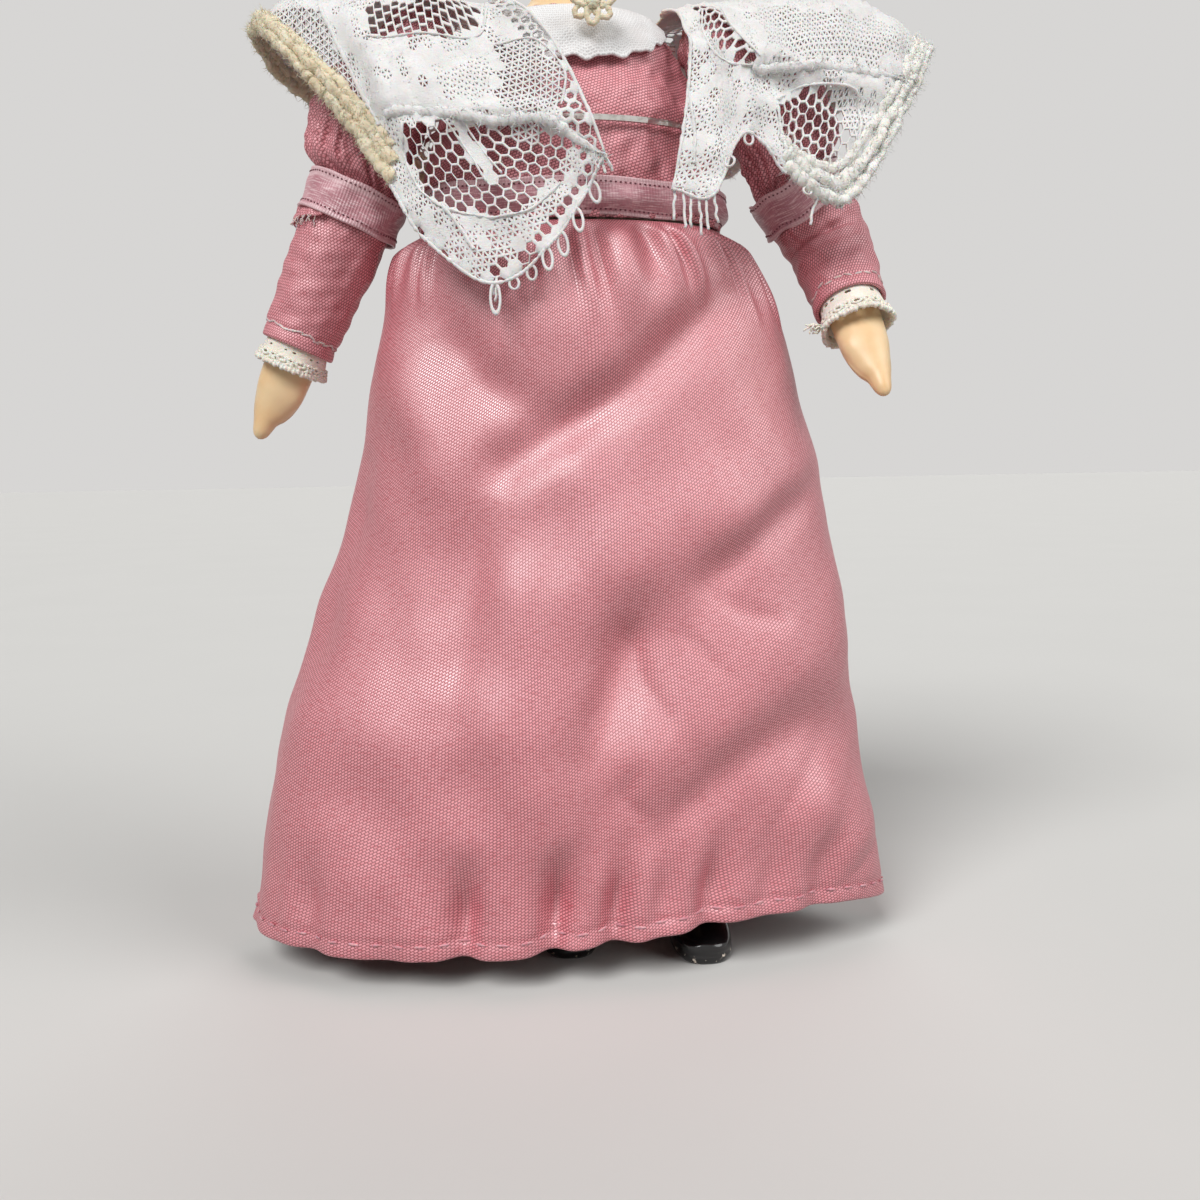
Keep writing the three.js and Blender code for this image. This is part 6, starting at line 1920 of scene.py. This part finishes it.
def collar_trims(half):
    """Edgings of the half: cords, turned edges, picots, frayed threads and the fuzz of the spun ones."""
    lace = bpy.context.scene.doll_lace
    white = Cloth()
    line = edge_line(half, *half.fine)
    white.tube(line, woolly(line, 0.18, 141, 0.3), 8)
    front = half.points(0 * np.linspace(0, 1, 60), np.linspace(0.02, 1, 60), -0.1)
    white.tube(front, woolly(front, 0.18, 143, 0.3), 8)
    for thick, closed, *corners in half.gimps:
        line = half.traced(corners, 0.06, closed)
        white.tube(line, woolly(line, thick, 145, 0.35), 7)
    made = [hang_collar(white.piece(f"{half.name}_collar_gimp", finish("lace")))]
    turned_edge = Cloth()
    line = half.traced(list(half.roll), 0.12)
    end = np.minimum(1, np.linspace(len(line) / 10, 0.2, len(line)))
    turned_edge.tube(line, woolly(line, 0.56, 147, 0.22) * end, 10, 0.75)
    for i in range(5):
        stray = np.array([math.sin(2.4 * i), 0.3 * math.cos(i), math.cos(1.7 * i) - 0.3])
        heading = line[-1] - line[-8] + 0.9 * stray
        turned_edge.tube(strand(line[-3], heading, 1.2 + 0.25 * i, 160 + i), 0.08, 5)
    made.append(hang_collar(turned_edge.piece(f"{half.name}_turned_edge", finish("lace"))))
    border = Cloth()
    # Spun cords: distance in from the edge, thickness, lift and seed
    cords = ((0.35, 0.72, 0.0, 145), (1.2, 0.78, 0.1, 149), (2.0, 0.5, 0.05, 151))
    for inset, thick, lift, seed in cords:
        line = edge_line(half, *half.spun, lift, inset)
        line = line + 0.16 * np.stack([ruffle(line, 1.6, seed + i) for i in (30, 31, 32)], -1)
        border.tube(line, woolly(line, thick, seed, 0.1), 10, 0.7)
    edging = border.piece(f"{half.name}_collar_edging", finish(half.edging))
    made.append(hang_collar(edging))
    for host, material, slot in ((made[1], "lace", "lace"), (made[2], half.edging, "cream")):
        fuzz = fibres(f"{host.name}_fuzz", host.data, lace.fuzz, material, 0.85, 0.035)
        made.append(hang_collar(fuzz))
    made.append(collar_picots(half))
    frayed = Cloth()
    for deg, length, lean in half.frays:
        foot = half.points(half.at(deg), 0.99, -0.1)
        frayed.tube(strand(foot, (lean, -0.1, -1), length, 171 + int(deg), 0.04), 0.16, 6)
    made.append(hang_collar(frayed.piece(f"{half.name}_frayed_threads", finish("lace"))))
    return made


def collar_picots(half):
    """Thread loops that stand out from the collar's fine edge, the longest at its tip."""
    deg, length = np.array(half.picots, float).T
    u = half.at(deg)
    foot = half.points(u, 1 + 0 * u, -0.05)
    away = unit(foot - half.points(u, 0.93 + 0 * u, -0.05))
    mesh = bpy.data.meshes.new(f"{half.name}_picot_points")
    mesh.from_pydata(((foot + AXIS) * MM).tolist(), [], [])
    for label, values in (("heading", away), ("facing", half.facing(u, 1 + 0 * u))):
        layer = mesh.attributes.new(label, "FLOAT_VECTOR", "POINT")
        layer.data.foreach_set("vector", values.astype(np.float32).ravel())
    layer = mesh.attributes.new("reach", "FLOAT", "POINT")
    layer.data.foreach_set("value", (length / 1.6).astype(np.float32))
    sizes = {"Half width": 0.5 * MM, "Thread": 0.15 * MM}
    return hang_collar(grown(f"{half.name}_collar_picots", mesh, picot_tree, sizes, "lace"))


def make_wires():
    """The wires of the armature and the tie round the bodice keep their CAD shape."""
    for name, node in frame["nodes"].items():
        if name.endswith("_wire"):
            node.data.materials.clear()
            node.data.materials.append(finish("steel"))


def make_stage():
    """Pale floor, soft light and the camera of the picture."""
    stage = bpy.context.scene.doll_stage
    scene = bpy.context.scene
    half = 3.0
    corners = [(-half, -half, 0), (half, -half, 0), (half, half, 0), (-half, half, 0)]
    mesh = bpy.data.meshes.new("floor")
    mesh.from_pydata(corners, [], [(0, 1, 2, 3)])
    mesh.materials.append(finish("floor"))
    floor = bpy.data.objects.new("floor", mesh)
    scene.collection.objects.link(floor)
    world = bpy.data.worlds.new("soft_room")
    world.use_nodes = True
    room = Nodes(world.node_tree)
    shown = shown_rays(world.node_tree)
    limits = {"Value": shown, "To Min": stage.room_light, "To Max": stage.backdrop}
    ground = world.node_tree.nodes["Background"].inputs
    room.put(ground["Color"], (1, 0.985, 0.97))
    room.put(ground["Strength"], room.add("ShaderNodeMapRange", limits))
    scene.world = world
    # Lights: place, strength and spread in degrees
    lights = (
        ("key_light", (-0.38, -0.62, 0.68), stage.key_light, 30),
        ("fill_light", (0.72, -0.45, 0.53), stage.fill_light, 40),
        ("back_light", (0.2, 0.75, 0.63), stage.back_light, 50),
    )
    for name, place, strength, spread in lights:
        light = bpy.data.lights.new(name, "SUN")
        light.energy = strength
        light.angle = math.radians(spread)
        lamp = bpy.data.objects.new(name, light)
        lamp.location = place
        lamp.rotation_mode = "QUATERNION"
        lamp.rotation_quaternion = (-Vector(place)).to_track_quat("-Z", "Y")
        scene.collection.objects.link(lamp)
    yaw, pitch, roll = (math.radians(v) for v in (stage.yaw, stage.pitch, stage.roll))
    ahead = Vector((math.sin(yaw) * math.cos(pitch), math.cos(yaw) * math.cos(pitch), -math.sin(pitch)))
    right = ahead.cross(Vector((0, 0, 1))).normalized()
    up = right.cross(ahead)
    across = right * math.cos(roll) + up * math.sin(roll)
    upward = up * math.cos(roll) - right * math.sin(roll)
    view = bpy.data.cameras.new("camera")
    view.sensor_width = 36
    view.lens = stage.lens
    view.clip_start = 0.01
    camera = bpy.data.objects.new("camera", view)
    aim = Matrix((across, upward, -ahead)).transposed().to_4x4()
    camera.matrix_world = Matrix.Translation(frame_point(*stage.eye)) @ aim
    scene.collection.objects.link(camera)
    scene.camera = camera
    scene.view_settings.view_transform = "Standard"


def paint(name, description, red, green, blue):
    return FloatVectorProperty(
        name=name,
        description=description,
        subtype="COLOR",
        size=3,
        min=0,
        max=1,
        default=scene_colour(red, green, blue),
    )


def span(name, description, default, unit="NONE"):
    return FloatProperty(name=name, description=description, default=default, min=0, unit=unit)


class DollGown(bpy.types.PropertyGroup):
    """Cloth of the gown."""

    satin: paint("Satin", "Colour of the satin", 203, 82, 96)
    satin_shade: paint("Satin shade", "Ground between the float threads", 130, 32, 44)
    # Float colour: the floats' own pink lightened with painted sheen
    satin_float_sheen: paint("Satin floats", "Colour of the bright float threads", 242, 158, 168)
    float_length: span("Float length", "Length of a float thread's step, in millimetres", 0.4)
    float_pitch: span("Float pitch", "Distance between float rows, in millimetres", 0.3)
    ribbon: paint("Ribbon", "Colour of the ribbons", 212, 154, 163)
    ribbon_shade: paint("Ribbon shade", "Ribbon colour between its ribs", 180, 116, 127)
    # Colour of the painted glints, also used to lighten the selvedges
    ribbon_glint: paint("Ribbon glint", "Shiny threads and selvedge of the ribbons", 238, 206, 209)
    gathers: IntProperty(name="Gathers", description="Gathers round the waist", default=33, min=6)
    gather_depth: span("Gather depth", "Depth of a waist gather, in millimetres", 1.1)
    stitch_pitch: span("Stitch pitch", "Distance between hem stitches, in millimetres", 2.65)


class DollLace(bpy.types.PropertyGroup):
    """Lace of the collar."""

    cell_pitch: span("Cell pitch", "Width of a cell of the net, in millimetres", 1.4)
    thread: span("Thread", "Thickness of the lace, in millimetres", 0.28)
    relief: span("Relief", "Height of the raised threads of the dense parts, in millimetres", 0.22)
    fuzz: span("Fuzz", "Loose fibres of the spun edges, per square millimetre", 7.0)
    cover: span("Cover", "Share of the flat cut that is cloth", 0.5)


class DollFigure(bpy.types.PropertyGroup):
    """Bisque, paint and wig of the figure."""

    bisque: paint("Bisque", "Tinted bisque", 238, 208, 164)
    bisque_shade: paint("Bisque shade", "Bisque where it is darker", 230, 192, 144)
    stocking: paint("Stocking", "Pale bisque of the legs", 236, 222, 205)
    shoe: paint("Shoe", "Painted shoes", 22, 20, 21)
    hair: paint("Hair", "Dark strands of the wig", 62, 38, 24)
    hair_light: paint("Light hair", "Light strands of the wig", 122, 82, 50)
    blush: paint("Blush", "Cheeks", 222, 138, 112)
    iris: paint("Iris", "Eyes", 74, 104, 128)
    lips: paint("Lips", "Mouth", 184, 76, 72)


class DollStage(bpy.types.PropertyGroup):
    """Floor, light and camera."""

    floor: paint("Floor", "Pale floor", 212, 211, 208)
    floor_return: span("Floor return", "Share of the floor's light that comes back up to the doll", 0.5)
    room_light: span("Room light", "Strength of the even light", 0.06)
    backdrop: span("Backdrop", "Brightness of the room behind the doll", 0.68)
    key_light: span("Key light", "Strength of the light from the upper left", 2.7)
    fill_light: span("Fill light", "Strength of the soft light from the right", 1.4)
    back_light: span("Back light", "Strength of the soft light from behind", 0.55)
    eye: FloatVectorProperty(
        name="Eye",
        description="Camera's place, in millimetres",
        size=3,
        default=(-9.27, -150.38, 59.2),
    )
    lens: span("Lens", "Camera's focal length, in millimetres", 37.74)
    yaw: FloatProperty(name="Yaw", description="Camera's turn to the doll's left, in degrees", default=4.5)
    pitch: FloatProperty(name="Pitch", description="Camera's tilt downwards, in degrees", default=6.45)
    roll: FloatProperty(name="Roll", description="Camera's roll, in degrees", default=-0.98)


class DOLL_OT_body(bpy.types.Operator):
    """Make the stuffed body and the wires in it"""

    bl_idname = "doll.body"
    bl_label = "Stuffed body"

    def execute(self, context):
        make_torso_pad()
        make_pelvis_pad()
        for name in ARMS:
            make_upper_arm(name)
            make_thigh(name)
        make_wires()
        return {"FINISHED"}


class DOLL_OT_head(bpy.types.Operator):
    """Make the bisque head with its wig"""

    bl_idname = "doll.head"
    bl_label = "Head and wig"

    def execute(self, context):
        make_head()
        make_wig_cap()
        make_wig_bun()
        return {"FINISHED"}


class DOLL_OT_legs(bpy.types.Operator):
    """Make the bisque legs and the drawers"""

    bl_idname = "doll.legs"
    bl_label = "Legs and drawers"

    def execute(self, context):
        for name in LEGS:
            make_lower_leg(name)
            make_drawers(name)
        return {"FINISHED"}


class DOLL_OT_bodice(bpy.types.Operator):
    """Make the bodice with its bib, throat rosette and waist ribbon"""

    bl_idname = "doll.bodice"
    bl_label = "Bodice"

    def execute(self, context):
        make_bodice()
        make_bib()
        make_throat_bow()
        make_waist_ribbon()
        return {"FINISHED"}


class DOLL_OT_skirt(bpy.types.Operator):
    """Make the gathered skirt with its stitched hem"""

    bl_idname = "doll.skirt"
    bl_label = "Skirt"

    def execute(self, context):
        make_skirt()
        return {"FINISHED"}


class DOLL_OT_sleeves(bpy.types.Operator):
    """Make the sleeves, their ribbons, lace cuffs and hands"""

    bl_idname = "doll.sleeves"
    bl_label = "Sleeves and hands"

    def execute(self, context):
        for name in ARMS:
            make_puff(name)
            make_sleeve_ribbon(name)
            make_lower_sleeve(name)
            make_cuff(name)
            make_forearm(name)
        return {"FINISHED"}


class DOLL_OT_collar(bpy.types.Operator):
    """Make both halves of the lace collar"""

    bl_idname = "doll.collar"
    bl_label = "Lace collar"

    def execute(self, context):
        for name in COLLARS:
            make_collar(name)
        return {"FINISHED"}


class DOLL_OT_stage(bpy.types.Operator):
    """Make the floor, light and camera"""

    bl_idname = "doll.stage"
    bl_label = "Stage"

    def execute(self, context):
        make_stage()
        return {"FINISHED"}


class DOLL_PT_panel(bpy.types.Panel):
    """Sizes and colours of the doll, with a button for each group of pieces"""

    bl_idname = "DOLL_PT_panel"
    bl_label = "Miniature doll"
    bl_space_type = "VIEW_3D"
    bl_region_type = "UI"
    bl_category = "Doll"

    def draw(self, context):
        for operator in OPERATORS:
            self.layout.operator(operator.bl_idname)
        for group in GROUPS:
            settings = getattr(context.scene, group)
            column = self.layout.column(heading=group)
            for label in settings.bl_rna.properties.keys():
                if label not in ("rna_type", "name"):
                    column.prop(settings, label)


OPERATORS = (
    DOLL_OT_body,
    DOLL_OT_head,
    DOLL_OT_legs,
    DOLL_OT_bodice,
    DOLL_OT_skirt,
    DOLL_OT_sleeves,
    DOLL_OT_collar,
    DOLL_OT_stage,
)
GROUPS = {
    "doll_gown": DollGown,
    "doll_lace": DollLace,
    "doll_figure": DollFigure,
    "doll_stage": DollStage,
}


def register():
    for kind in (*GROUPS.values(), *OPERATORS, DOLL_PT_panel):
        bpy.utils.register_class(kind)
    for label, kind in GROUPS.items():
        setattr(bpy.types.Scene, label, PointerProperty(type=kind))


def unregister():
    for label in GROUPS:
        delattr(bpy.types.Scene, label)
    for kind in reversed((*GROUPS.values(), *OPERATORS, DOLL_PT_panel)):
        bpy.utils.unregister_class(kind)


def main():
    register()
    for operator in OPERATORS:
        family, label = operator.bl_idname.split(".")
        getattr(getattr(bpy.ops, family), label)()


if __name__ == "__main__":
    main()
